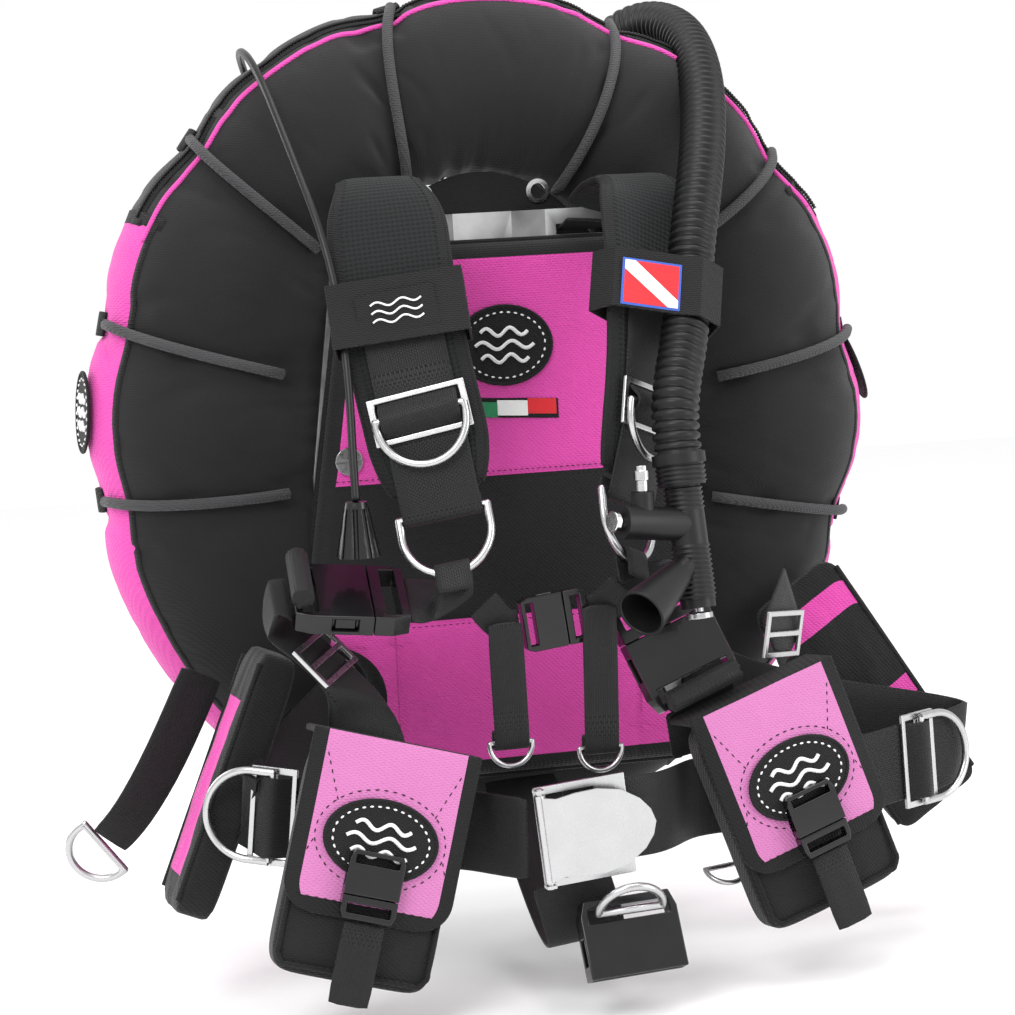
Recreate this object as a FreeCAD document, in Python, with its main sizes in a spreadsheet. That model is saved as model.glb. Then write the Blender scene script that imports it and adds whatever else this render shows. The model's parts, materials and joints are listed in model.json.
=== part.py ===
import FreeCAD, Part
import math
import os
import Sketcher
from FreeCAD import Placement, Rotation
from FreeCAD import Vector as V

# Back-inflate buoyancy compensator: a ring-shaped wing with bungees behind a bent steel
# backplate, a padded harness with steel rings and buckles, an inflator on a corrugated
# hose, and pockets on the waist belt.  Millimetres, +Z up, the wearer's side faces -Y.
# The origin is the middle of the two tank bolt holes on the back of the plate's channel.

os.makedirs("parts", exist_ok=True)
doc = FreeCAD.newDocument("buoyancy_vest")

SIZES = {
    # wing
    "wing_half_wide": 256, "wing_half_tall": 272, "wing_mid": 50,
    "hole_half_wide": 112, "hole_half_tall": 166, "hole_mid": 48,
    "tube_deep": 60, "tube_flat": 10, "tube_back": 27, "tube_low": 32,
    "shell_thick": 1.4, "bladder_gap": 3, "bladder_thick": 0.8,
    "panel_front": 0.5, "panel_thick": 2.5, "panel_gap": 1.5,
    "grommet_out": 8, "grommet_in": 5, "grommet_thick": 1.2, "grommet_x": 39.8,
    "grommet_z": 198, "cord_r": 3.5, "loop_wide": 16, "loop_thick": 2.4,
    # plate
    "plate_tall": 371, "plate_half": 127, "plate_top_half": 106, "plate_thick": 3,
    "channel_half": 20, "channel_mouth": 38, "channel_deep": 22, "bolt_half": 139.7,
    "bolt_r": 5, "slot_x": 119, "slot_z": 125, "slot_tall": 52, "slot_wide": 5,
    "strap_slot_x": 72, "strap_slot_z": 172, "strap_slot_wide": 54, "strap_slot_tall": 7,
    "screw_x": 107, "screw_z": 30, "screw_hole_r": 5.2, "plate_top_z": 185.5,
    "taper_z": 20, "corner": 16,
    # back pad
    "pad_back": 22.3, "pad_thick": 17, "pad_top": 166, "pad_bottom": 184,
    "pad_top_half": 100, "pad_low_half": 134, "notch_r": 35, "pad_corner": 112,
    # screws
    "screw_r": 4.8, "head_r": 9, "head_thick": 2, "nut_r": 8, "nut_thick": 1.5,
    # webbing and steel
    "web": 50, "web_thick": 2.2, "web_small": 22, "strap_pad": 78, "strap_pad_thick": 8,
    "wire": 2.5, "ring_half": 28, "ring_side": 4, "slide_long": 62, "slide_tall": 30,
    "slide_thick": 2.4, "slide_bar": 3.6, "slide_rim": 4.5,
    # tail rings
    "small_wire": 1.6, "small_ring_half": 13.5, "small_ring_side": 1, "hang_side": 12,
    "waist_side": 14, "crotch_half": 20,
    # waist buckle
    "frame_tall": 62, "frame_thick": 3,
    "latch_thick": 2, "latch_tall": 54, "pin_r": 2,
    # inflator
    "hose_r": 15, "hose_bore": 12, "clamp_thick": 1.5, "clamp_wide": 7, "barrel_r": 11,
    "barrel_long": 88, "collar_r": 13.5, "collar_long": 12, "valve_r": 10.5, "valve_long": 50,
    "button_r": 6.5, "button_long": 4, "stem_r": 3, "stem_long": 9, "nipple_r": 4.8,
    "nipple_neck": 3.6, "post_r": 7, "post_tall": 13,
    "drain_r": 8.5,
    # mouthpiece
    "mouth_long": 46, "mouth_small": 9, "mouth_big": 16, "mouth_wall": 2.2,
    # elbow and dump valve
    "elbow_r": 15.4, "elbow_flange": 24, "elbow_flange_thick": 4, "dump_r": 26,
    "dump_neck": 15, "pull_r": 2.6, "knob_top": 7, "knob_low": 14,
    "knob_tall": 34, "knob_groove": 1.6,
    # plate cuts
    "cut_far": 200, "slot_in": 116.5, "slot_out": 121.5, "slot_low": 151, "slot_high": 99,
    "strap_in": 45, "strap_out": 99, "strap_low": 168.5, "strap_high": 175.5, "bottom_in": 90,
    "bottom_z": 90,
    # waist buckle gate
    "frame_half_x": 29, "frame_half_z": 31, "gate_in": 4, "gate_out": 23, "gate_half": 26,
    "gate_back": 9,
    # inflator barb
    "barb_r": 11.6, "barb_long": 13,
    # dump valve
    "cup_r": 22, "cup_deep": 16, "cup_floor": 3, "seal_r": 17, "seal_thick": 3, "seat_r": 12,
    "cap_r": 26, "cap_thick": 3, "cap_hole": 4.5, "rod_r": 3, "rod_long": 8,
    # waist buckle latch outline, from its hinge to its tip
    "latch_x0": 33, "latch_x1": 24, "latch_x2": 12, "latch_x3": 2, "latch_x4": 17, "latch_x5": 28,
    "latch_x6": 34, "latch_x7": 36.5, "latch_y0": 26, "latch_y1": 24, "latch_y2": 25.6,
    "latch_y3": 26, "latch_y4": 22.8, "latch_y5": 15.5, "latch_y6": 8,
}

sheet = doc.addObject("Spreadsheet::Sheet", "sizes")
for row, (alias, value) in enumerate(SIZES.items(), start=1):
    sheet.set(f"A{row}", alias)
    sheet.set(f"B{row}", str(value))
    sheet.setAlias(f"B{row}", alias)
doc.recompute()

DOWN = V(0, 0, -1)
FRONT = V(0, -1, 0)
RIGHT = V(1, 0, 0)
subparts = {}


def size(alias):
    """Value of a sheet cell in millimetres; a leading minus turns its sign."""
    if isinstance(alias, str):
        if alias.startswith("-"):
            return -float(sheet.get(alias[1:]))
        return float(sheet.get(alias))
    return float(alias)


def expression(alias):
    """The sheet reference that stands for an alias, signed as size() reads it."""
    return "-sizes." + alias[1:] if alias.startswith("-") else "sizes." + alias


def frame(origin, across, out):
    """Placement whose local X runs across, local Z runs out and local Y = Z x X."""
    side = V(*across)
    face = V(*out)
    side = side - face * (side.dot(face) / face.dot(face))
    return Placement(V(*origin), Rotation(side, V(), face, "ZXY"))


def keep(label, *objects):
    """Name the objects that make one sub-part; they are written to one file."""
    if len(objects) == 1:
        objects[0].Label = label
    subparts[label] = objects


def primitive(kind, name, spot=Placement(), **bound):
    """A Part primitive whose sizes are bound to the sheet."""
    item = doc.addObject("Part::" + kind, name)
    for prop, text in bound.items():
        item.setExpression(prop, text)
    item.Placement = spot
    return item


def box(name, long, wide, tall, centre=(0, 0, 0)):
    """Box centred on a point, its three sides given as expressions."""
    item = primitive("Box", name, Length=long, Width=wide, Height=tall)
    for prop, half, middle in zip("xyz", (long, wide, tall), centre):
        item.setExpression(f".Placement.Base.{prop}", f"{middle} - ({half}) / 2")
    return item


def joined(name, *items):
    item = doc.addObject("Part::MultiFuse", name)
    item.Shapes = list(items)
    return item


def without(name, base, *tools):
    item = doc.addObject("Part::Cut", name)
    item.Base = base
    item.Tool = tools[0] if len(tools) == 1 else joined(name + "_tools", *tools)
    return item


def solid_feature(name, shape, spot=None):
    """A Part::Feature that holds a shape made with Part's own functions."""
    item = doc.addObject("Part::Feature", name)
    item.Shape = shape
    if spot is not None:
        item.Placement = spot
    return item


# ---------------------------------------------------------------- PartDesign helpers

def new_body(name):
    return doc.addObject("PartDesign::Body", name)


def plane_of(body, role):
    return [item for item in body.Origin.OriginFeatures if item.Role == role][0]


def outline_sketch(body, name, role, loops):
    """Sketch of closed straight-sided loops; each corner is bound to the sheet."""
    sketch = body.newObject("Sketcher::SketchObject", name)
    sketch.AttachmentSupport = [(plane_of(body, role), "")]
    sketch.MapMode = "FlatFace"
    for corners in loops:
        first = sketch.GeometryCount
        points = [V(size(a), size(b), 0) for a, b in corners]
        for start, end in zip(points, points[1:] + points[:1]):
            sketch.addGeometry(Part.LineSegment(start, end))
        count = len(corners)
        for i in range(count):
            following = first + (i + 1) % count
            sketch.addConstraint(Sketcher.Constraint("Coincident", first + i, 2, following, 1))
        for i, (a, b) in enumerate(corners):
            bind_point(sketch, first + i, 1, a, "DistanceX", -2)
            bind_point(sketch, first + i, 1, b, "DistanceY", -1)
    return sketch


def bind_point(sketch, item, vertex, alias, kind, axis):
    """Tie one coordinate of a sketch point to a sheet cell, or to the axis if it is zero."""
    if isinstance(alias, str):
        limit = Sketcher.Constraint(kind, -1, 1, item, vertex, size(alias))
        sketch.setExpression(f"Constraints[{sketch.addConstraint(limit)}]", expression(alias))
    else:
        sketch.addConstraint(Sketcher.Constraint("PointOnObject", item, vertex, axis))


def add_circle(sketch, x, z, radius):
    """Circle whose centre and radius are bound to sheet cells."""
    circle = Part.Circle(V(size(x), size(z), 0), V(0, 0, 1), size(radius))
    item = sketch.addGeometry(circle)
    bind_point(sketch, item, 3, x, "DistanceX", -2)
    bind_point(sketch, item, 3, z, "DistanceY", -1)
    limit = Sketcher.Constraint("Radius", item, size(radius))
    sketch.setExpression(f"Constraints[{sketch.addConstraint(limit)}]", expression(radius))


def pad(body, sketch, length):
    item = body.newObject("PartDesign::Pad", sketch.Name + "_pad")
    item.Profile = sketch
    item.setExpression("Length", expression(length))
    return item


def pocket_through(body, sketch):
    """Cut a sketch right through the body, both ways from its plane."""
    item = body.newObject("PartDesign::Pocket", sketch.Name + "_pocket")
    item.Profile = sketch
    item.Type = "ThroughAll"
    item.Midplane = True
    return item


def turned(name, corners, spot=Placement()):
    """Body turned about its own Z axis from corners given as (radius, height)."""
    body = new_body(name)
    sketch = outline_sketch(body, name + "_profile", "XZ_Plane", [corners])
    item = body.newObject("PartDesign::Revolution", name + "_turn")
    item.Profile = sketch
    item.ReferenceAxis = (sketch, ["V_Axis"])
    item.Angle = 360
    body.Placement = spot
    return body


# ---------------------------------------------------------------- soft solids

def facets(rings):
    """Closed solid of flat triangles through rings that all have the same point count."""
    faces = []
    count = len(rings[0])

    def triangle(a, b, c):
        faces.append(Part.Face(Part.makePolygon([a, b, c, a])))

    for low, high in zip(rings, rings[1:]):
        for i in range(count):
            k = (i + 1) % count
            triangle(low[i], low[k], high[i])
            triangle(low[k], high[k], high[i])
    for ring, flip in ((rings[0], True), (rings[-1], False)):
        for i in range(1, count - 1):
            corners = (ring[0], ring[i + 1], ring[i]) if flip else (ring[0], ring[i], ring[i + 1])
            triangle(*corners)
    solid = Part.Solid(Part.Shell(faces))
    if solid.Volume < 0:
        solid.reverse()
    return solid


def ribbon(stations, wide, thick, lift=0):
    """Strip of webbing: each station is (centre, across), lifted off along its outer face."""
    rings = []
    last = len(stations) - 1
    for i, (centre, across) in enumerate(stations):
        before = (centre - stations[max(i - 1, 0)][0])
        after = (stations[min(i + 1, last)][0] - centre)
        steps = [step.normalize() for step in (before, after) if step.Length > 0]
        along = sum(steps, V()).normalize()
        stretch = 1 / max(0.45, along.dot(steps[0]))
        side = (across - along * across.dot(along)).normalize()
        out = along.cross(side)
        middle = centre + out * (lift * stretch)
        half = side * (wide / 2 * across.Length)
        rise = out * (thick / 2 * stretch)
        rings.append([middle - half - rise, middle + half - rise,
                      middle + half + rise, middle - half + rise])
    return facets(rings)


def stations_of(rows):
    """Rows of x, y, z and yaw: the strap's across direction turned about Z from +X."""
    result = []
    for x, y, z, yaw in rows:
        turn = math.radians(yaw)
        result.append((V(x, y, z), V(math.cos(turn), math.sin(turn), 0)))
    return result


def local(origin, across, along, side=0, down=0, out=0):
    """Point given in a strap's own directions, and the outward direction itself."""
    face = along.cross(across)
    return origin + across * side + along * down + face * out


def rounded_path(points, share=0.45):
    """Wire of straight runs joined by tangent arcs as large as the runs allow."""
    edges = []
    radii = []
    start = points[0]
    for before, corner, after in zip(points, points[1:], points[2:]):
        into = (corner - before)
        away = (after - corner)
        reach = share * min(into.Length, away.Length)
        into = into.normalize()
        away = away.normalize()
        turn = into.getAngle(away)
        radii.append(reach / math.tan(turn / 2))
        first = corner - into * reach
        second = corner + away * reach
        bisector = (away - into).normalize()
        middle = corner + bisector * (radii[-1] / math.cos(turn / 2) - radii[-1])
        edges.append(Part.LineSegment(start, first).toShape())
        edges.append(Part.Arc(first, middle, second).toShape())
        start = second
    edges.append(Part.LineSegment(start, points[-1]).toShape())
    return Part.Wire(edges), radii


def tube(points, radius):
    """Round tube along a rounded path."""
    path, radii = rounded_path(points)
    along = points[1] - points[0]
    ring = Part.Wire(Part.makeCircle(radius, points[0], along))
    solid = path.makePipeShell([ring], True, False)
    share = solid.Volume / (math.pi * radius ** 2 * path.Length)
    return solid, path.Length, min(radii), share


# ---------------------------------------------------------------- wing

def wing_section(angle):
    """Centre, outward direction and half width of the tube at an angle from the top."""
    s = math.sin(angle)
    c = math.cos(angle)
    outer = V(size("wing_half_wide") * s, 0, size("wing_mid") + size("wing_half_tall") * c)
    inner = V(size("hole_half_wide") * s, 0, size("hole_mid") + size("hole_half_tall") * c)
    back = size("tube_back") + size("tube_low") * min(c, 0) ** 2
    middle = (outer + inner) * 0.5 + V(0, back, 0)
    half = (outer - inner).Length / 2
    deep = size("tube_deep") - size("tube_flat") * c * c
    return middle, (outer - inner).normalize(), half, deep


def wing_ring(shrink, count=16):
    """Ring-shaped tube, lofted through oval sections; shrink draws its wall inwards."""
    wires = []
    for i in range(count):
        middle, out, half, deep = wing_section(2 * math.pi * i / count)
        oval = Part.Ellipse(middle + out * (half - shrink),
                            middle + V(0, deep - shrink, 0), middle)
        wires.append(Part.Wire(oval.toShape()))
    return Part.makeLoft(wires, True, False, True)


def wing_point(angle, turn, lift):
    """Point above the tube's skin; turn goes from its outer edge round the front."""
    middle, out, half, deep = wing_section(angle)
    return middle + out * ((half + lift) * math.cos(turn)) + FRONT * ((deep + lift) * math.sin(turn))


ELBOW = V(118, 0, 246)
ELBOW_REAR = 103
DUMP = V(-112, 0, 238)
PORT_DEEP = 60
PORT_REAR = 100


def port(spot, radius):
    return Part.makeCylinder(radius, PORT_DEEP, V(spot.x, PORT_REAR - PORT_DEEP, spot.z), V(0, 1, 0))


elbow_port = port(ELBOW, size("elbow_r") + 1)
dump_port = port(DUMP, size("dump_neck") + 1)
thick = size("shell_thick")
gap = size("bladder_gap")
shell = wing_ring(0).cut(wing_ring(thick)).cut(elbow_port).cut(dump_port)
keep("wing_shell", solid_feature("wing_shell", shell.Solids[0]))
bladder = wing_ring(gap).cut(wing_ring(gap + size("bladder_thick"))).cut(elbow_port).cut(dump_port)
keep("wing_bladder", solid_feature("wing_bladder", bladder.Solids[0]))

panel_back = -size("panel_front") - size("panel_thick")
panel_oval = Part.Ellipse(V(0, 0, size("hole_half_tall") - size("panel_gap")),
                          V(size("hole_half_wide") - size("panel_gap"), 0, 0), V())
panel = Part.Face(Part.Wire(panel_oval.toShape())).extrude(V(0, size("panel_thick"), 0))
panel.translate(V(0, size("panel_front"), size("hole_mid")))
for level in (size("bolt_half"), -size("bolt_half")):
    panel = panel.cut(Part.makeCylinder(size("bolt_r") + 1, 20, V(0, -5, level), V(0, 1, 0)))
keep("wing_center_panel", solid_feature("wing_center_panel", panel.Solids[0]))

grommets = []
for number, sign in enumerate((-1, 1), start=1):
    corners = [("grommet_in", 0), ("grommet_out", 0), ("grommet_out", "grommet_thick"),
               ("grommet_in", "grommet_thick")]
    spot = frame((sign * size("grommet_x"), 0.3, size("grommet_z")), (1, 0, 0), (0, -1, 0))
    grommets.append(turned(f"grommet_{number}", corners, spot))
keep("wing_grommets", *grommets)

# Bungees: angle of the loop at the rim and of the end at the inner edge, in degrees
BUNGEES = [(-11, -26, 150), (-46, -52, 116), (-74, -78, 116), (-98, -101, 116),
           (22, 27, 150), (53, 57, 116), (81, 84, 116), (107, 108, 116)]
LOOP_ANGLES = [-11, -31, -46, -74, -98, 22, 53, 81, 107]
BUNGEE_STEPS = 6
BUNGEE_START = 14


def bungee(start, end, finish):
    points = []
    for i in range(BUNGEE_STEPS + 1):
        share = i / BUNGEE_STEPS
        turn = math.radians(BUNGEE_START + (finish - BUNGEE_START) * share)
        points.append(wing_point(math.radians(start + (end - start) * share), turn,
                                 size("cord_r") + 4.5))
    return tube(points, size("cord_r"))[0]


keep("bungee_cords", *[solid_feature(f"bungee_{n}", bungee(*row))
                       for n, row in enumerate(BUNGEES, start=1)])


def bungee_loop(angle):
    """Flat webbing loop sewn to the rim, its hole for the bungee facing the front."""
    middle, out, half, deep = wing_section(math.radians(angle))
    across = out.cross(FRONT)
    centre = middle + out * (half + 5.6)
    rows = []
    for turn in (-60, -20, 20, 60):
        lean = math.radians(turn)
        rows.append((centre + FRONT * (9 * math.sin(lean)) + out * (7 * math.cos(lean) - 5), across))
    return ribbon(rows, size("loop_wide"), size("loop_thick"))


keep("bungee_loops", *[solid_feature(f"loop_{n}", bungee_loop(angle))
                       for n, angle in enumerate(LOOP_ANGLES, start=1)])

# ---------------------------------------------------------------- backplate

plate = new_body("backplate")
profile = [("plate_half", "-channel_deep"), ("channel_mouth", "-channel_deep"),
           ("channel_half", "-plate_thick"), ("-channel_half", "-plate_thick"),
           ("-channel_mouth", "-channel_deep"), ("-plate_half", "-channel_deep")]
sheet.set("D1", "=channel_deep - plate_thick")
sheet.setAlias("D1", "flat_back")
sheet.set("D2", "=channel_mouth + 1.5")
sheet.setAlias("D2", "mouth_back")
sheet.set("D3", "=channel_half + 1.5")
sheet.setAlias("D3", "floor_back")
doc.recompute()
profile = profile + [("-plate_half", "-flat_back"), ("-mouth_back", "-flat_back"),
                     ("-floor_back", 0), ("floor_back", 0), ("mouth_back", "-flat_back"),
                     ("plate_half", "-flat_back")]
plate_sketch = outline_sketch(plate, "plate_profile", "XY_Plane", [profile])
plate_pad = pad(plate, plate_sketch, "plate_tall")
plate_pad.Midplane = True

loops = []
for sign in ("", "-"):
    loops.append([(sign + "plate_half", "taper_z"), (sign + "cut_far", "taper_z"),
                  (sign + "cut_far", "cut_far"), (sign + "bottom_in", "cut_far"),
                  (sign + "plate_top_half", "strap_low")])
    loops.append([(sign + "bottom_in", "-cut_far"), (sign + "cut_far", "-cut_far"),
                  (sign + "cut_far", "-bottom_z")])
    loops.append([(sign + "slot_in", "-slot_low"), (sign + "slot_out", "-slot_low"),
                  (sign + "slot_out", "-slot_high"), (sign + "slot_in", "-slot_high")])
    loops.append([(sign + "strap_in", "strap_low"), (sign + "strap_out", "strap_low"),
                  (sign + "strap_out", "strap_high"), (sign + "strap_in", "strap_high")])
plate_cuts = outline_sketch(plate, "plate_cuts", "XZ_Plane", loops)
add_circle(plate_cuts, 0, "bolt_half", "bolt_r")
add_circle(plate_cuts, 0, "-bolt_half", "bolt_r")
add_circle(plate_cuts, "screw_x", "screw_z", "screw_hole_r")
add_circle(plate_cuts, "-screw_x", "screw_z", "screw_hole_r")
pocket_through(plate, plate_cuts)
keep("backplate", plate)

# ---------------------------------------------------------------- back pad and its screws

top = size("pad_top")
low = -size("pad_bottom")
edge = size("pad_low_half")
mid = -size("slot_z")
notch = size("notch_r")
bend = math.sqrt(0.5)


def pad_half(sign):
    """Right or left half of the pad's outline, from the top middle to the bottom middle."""
    points = [V(0, 0, top), V(sign * size("pad_top_half"), 0, top),
              V(sign * edge, 0, -40), V(sign * edge, 0, mid + notch)]
    lines = [Part.LineSegment(a, b).toShape() for a, b in zip(points, points[1:])]
    arc = Part.Arc(points[-1], V(sign * (edge - notch), 0, mid), V(sign * edge, 0, mid - notch))
    tail = [V(sign * edge, 0, mid - notch), V(sign * size("pad_corner"), 0, low), V(0, 0, low)]
    return lines + [arc.toShape()] + [Part.LineSegment(a, b).toShape()
                                      for a, b in zip(tail, tail[1:])]


outline = Part.Wire(Part.__sortEdges__(pad_half(1) + pad_half(-1)))
cushion = Part.Face(outline).extrude(V(0, -size("pad_thick"), 0))
cushion.translate(V(0, -size("pad_back"), 0))
for sign in (-1, 1):
    hole = Part.makeCylinder(size("screw_hole_r"), 60, V(sign * size("screw_x"), -50, size("screw_z")),
                             V(0, 1, 0))
    cushion = cushion.cut(hole)
keep("backpad", solid_feature("backpad", cushion.Solids[0]))

screws = []
for number, sign in enumerate((-1, 1), start=1):
    spot = frame((sign * size("screw_x"), -size("channel_deep") + size("plate_thick") + 0.3,
                  size("screw_z")), (1, 0, 0), (0, -1, 0))
    name = f"pad_screw_{number}"
    shank = primitive("Cylinder", name + "_shank", Radius="sizes.screw_r",
                      Height="sizes.plate_thick + sizes.pad_thick + 1.2")
    nut = primitive("Cylinder", name + "_nut", Radius="sizes.nut_r", Height="sizes.nut_thick",
                    spot=Placement(V(0, 0, -size("nut_thick")), Rotation()))
    head = primitive("Cylinder", name + "_head", Radius="sizes.head_r", Height="sizes.head_thick",
                     spot=Placement(V(0, 0, size("plate_thick") + size("pad_thick") + 1.1), Rotation()))
    slot = box(name + "_slot", "sizes.head_r * 3", "2", "2",
               (0, 0, "sizes.plate_thick + sizes.pad_thick + 3.1"))
    item = without(name, joined(name + "_solid", shank, nut, head), slot)
    item.Placement = spot
    screws.append(item)
keep("backpad_screws", *screws)

# ---------------------------------------------------------------- rings, slides and buckles


def d_ring(name, spot, half="sizes.ring_half", side="sizes.ring_side", wire="sizes.wire"):
    """Round-wire D: straight bar along local X through the origin, bow towards local -Y."""
    bar = primitive("Cylinder", name + "_bar", Radius=wire, Height=f"2 * {half}")
    bar.Placement = Placement(V(), Rotation(V(0, 1, 0), 90))
    bar.setExpression(".Placement.Base.x", f"-{half}")
    pieces = [bar]
    for sign in ("-", ""):
        leg = primitive("Cylinder", name + "_leg", Radius=wire, Height=side)
        leg.Placement = Placement(V(), Rotation(V(1, 0, 0), 90))
        leg.setExpression(".Placement.Base.x", f"{sign}{half}")
        ball = primitive("Sphere", name + "_corner", Radius=wire)
        ball.setExpression(".Placement.Base.x", f"{sign}{half}")
        pieces += [leg, ball]
    bow = primitive("Torus", name + "_bow", Radius1=half, Radius2=wire)
    bow.Angle3 = 180
    bow.Placement = Placement(V(), Rotation(V(0, 0, 1), 180))
    bow.setExpression(".Placement.Base.y", f"-{side}")
    pieces.append(bow)
    item = joined(name, *pieces)
    item.Placement = spot
    return item


def slide(name, spot):
    """Flat two-slot slide: long side along local X, thickness along local Z from 0."""
    plate_box = box(name + "_plate", "sizes.slide_long", "sizes.slide_tall", "sizes.slide_thick",
                    (0, 0, "sizes.slide_thick / 2"))
    slots = []
    for sign in ("", "-"):
        tall = "(sizes.slide_tall - 3 * sizes.slide_bar) / 2"
        slots.append(box(name + "_slot", "sizes.slide_long - 2 * sizes.slide_rim", tall, "20",
                         (0, f"{sign}(sizes.slide_tall - sizes.slide_bar) / 4", 0)))
    item = without(name, plate_box, *slots)
    item.Placement = spot
    return item


# Buckle sizes per webbing width: body half width, body length, thickness, base length
BUCKLES = {50: (31, 48, 13, 22), 25: (17, 27, 9, 14)}
FIT = 0.5
CHEEK = 1.8


def tapered(name, item, web, end):
    """Slanting cuts at the webbing end of a buckle, end being its distance along local Y."""
    half, long, thick_out, base = BUCKLES[web]
    reach = half * 0.42
    way = 1 if end > 0 else -1
    cuts = []
    for sign in (-1, 1):
        corners = [V(sign * (half + 1), end + way, -thick_out),
                   V(sign * (half + 1), end - way * reach, -thick_out),
                   V(sign * (web / 2 + 2), end + way, -thick_out)]
        cut = Part.Face(Part.makePolygon(corners + corners[:1])).extrude(V(0, 0, 2 * thick_out))
        cuts.append(solid_feature(f"{name}_cut_{sign + 2}", cut))
    return without(name + "_tapered", item, *cuts)


def female_buckle(name, web, spot):
    """Side-release body: mouth at the origin facing local -Y, webbing bar at its far end."""
    half, long, thick_out, base = BUCKLES[web]
    wall = thick_out * 0.19
    block = box(name + "_block", str(2 * half), str(long), str(thick_out), (0, str(long / 2), 0))
    deep = long * 0.62
    cavity = box(name + "_cavity", str(2 * (half - CHEEK)), str(deep + 2), str(thick_out - 2 * wall),
                 (0, str(deep / 2 - 1), 0))
    windows = [box(name + "_window", str(half * 0.5), str(long * 0.34), str(thick_out * 0.62),
                   (str(sign * half), str(long * 0.36), 0)) for sign in (-1, 1)]
    gate = box(name + "_gate", str(web + 2), str(long * 0.19), "40", (0, str(long * 0.8), 0))
    item = tapered(name, without(name, block, cavity, gate, *windows), web, long)
    item.Placement = spot
    return item


def male_buckle(name, web, spot):
    """Plug with two side prongs and a middle guide, its webbing bar behind the shoulder."""
    half, long, thick_out, base = BUCKLES[web]
    wall = thick_out * 0.19
    inner = thick_out - 2 * wall - 2 * FIT
    block = box(name + "_base", str(2 * half), str(base), str(thick_out), (0, str(-base / 2 - FIT), 0))
    gate = box(name + "_gate", str(web + 2), str(base * 0.42), "40", (0, str(-base * 0.56), 0))
    reach = long * 0.55
    prongs = [box(name + "_prong", str(half * 0.24), str(reach + 1), str(inner),
                  (str(sign * (half * 0.78 - FIT)), str(reach / 2 - 1), 0)) for sign in (-1, 1)]
    ears = [box(name + "_ear", str(half * 0.2), str(long * 0.26), str(inner),
                (str(sign * (half * 0.9 - CHEEK - FIT)), str(long * 0.36), 0)) for sign in (-1, 1)]
    guide = box(name + "_guide", str(half * 0.22), str(reach), str(inner), (0, str(reach / 2 - 1), 0))
    whole = joined(name + "_solid", block, guide, *prongs, *ears)
    item = tapered(name, without(name, whole, gate), web, -base - FIT)
    item.Placement = spot
    return item


# ---------------------------------------------------------------- shoulder straps

STRAPS = {
    "l": [(-74, -34, 184, 0), (-78, -47, 200, -4), (-83, -63, 207, -8), (-86, -88, 194, -12),
          (-88, -108, 162, -15), (-88, -123, 124, -18), (-84, -135, 84, -20),
          (-79, -143, 48, -20), (-75, -149, 14, -20)],
    "r": [(74, -34, 183, 0), (81, -47, 197, 6), (88, -63, 201, 12), (88, -88, 188, 20),
          (80, -108, 158, 29), (71, -123, 122, 37), (63, -135, 84, 41),
          (56, -143, 48, 40), (46, -149, 14, 38)],
}
STRAP_LIFT = 6.2
pads = []
webs = []
shoulder_slides = []
straps = {}
for letter, rows in STRAPS.items():
    line = stations_of(rows)
    straps[letter] = line
    pads.append(solid_feature("shoulder_pad_" + letter,
                              ribbon(line, size("strap_pad"), size("strap_pad_thick"))))
    sign = -1 if letter == "l" else 1
    root_rows = [(sign * size("strap_slot_x"), -12, 172, 0), (sign * size("strap_slot_x"), -26, 173.5, 0),
                 (sign * (size("strap_slot_x") + 1), -31, 176.5, 0)]
    webs.append(solid_feature("strap_root_" + letter,
                              ribbon(stations_of(root_rows), size("web"), size("web_thick"))))
keep("shoulder_pads", *pads)


def strap_axes(letter, index, share):
    """Centre, across, along and out directions part way down a strap's segment."""
    first, second = straps[letter][index], straps[letter][index + 1]
    along = (second[0] - first[0]).normalize()
    across = first[1] * (1 - share) + second[1] * share
    across = (across - along * across.dot(along)).normalize()
    return first[0] + (second[0] - first[0]) * share, across, along, along.cross(across)


def lifted(letter, index, share, out):
    centre, across, along, face = strap_axes(letter, index, share)
    return centre + face * out, across


LOOP = 4.2
RING_AT = {"l": (6, 0.58), "r": (6, 0.75)}
strap_ends = {}
for letter in ("l", "r"):
    ring_index, ring_share = RING_AT[letter]
    centre, across, along, face = strap_axes(letter, ring_index, ring_share)

    def hump(down, out):
        return centre + along * down + face * out, across

    end, end_across, end_along, end_face = strap_axes(letter, 7, 0.995)
    bar = end + end_along * 12 + end_face * (STRAP_LIFT - LOOP)

    def wrap(down, out):
        return bar + end_along * down + end_face * out, end_across

    path = [lifted(letter, 4, 0.5, STRAP_LIFT + 0.6), lifted(letter, 5, 0.0, STRAP_LIFT + 0.9),
            lifted(letter, 5, 0.98, STRAP_LIFT), hump(-17, STRAP_LIFT), hump(-11.2, STRAP_LIFT + 0.2),
            hump(-3.6, 17.7), hump(3.6, 17.7), hump(11.2, STRAP_LIFT + 0.2), hump(17, STRAP_LIFT),
            lifted(letter, 7, 0.35, STRAP_LIFT), lifted(letter, 7, 0.8, STRAP_LIFT),
            wrap(0, LOOP), wrap(3, 3), wrap(LOOP, 0), wrap(3, -3), wrap(0, -LOOP), wrap(-9, -LOOP)]
    webs.append(solid_feature("strap_web_" + letter,
                              ribbon(path, size("web"), size("web_thick"))))
    spot = frame(local(centre, across, along, out=8.15), across, face)
    shoulder_slides.append(slide("shoulder_slide_" + letter, spot))
    ring_spot = frame(local(centre, across, along, out=13.35), across, face)
    keep("shoulder_dring_" + letter, d_ring("shoulder_ring_" + letter, ring_spot))
    strap_ends[letter] = (bar, end_across, end_along, end_face)
keep("shoulder_webbing", *webs)

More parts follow.
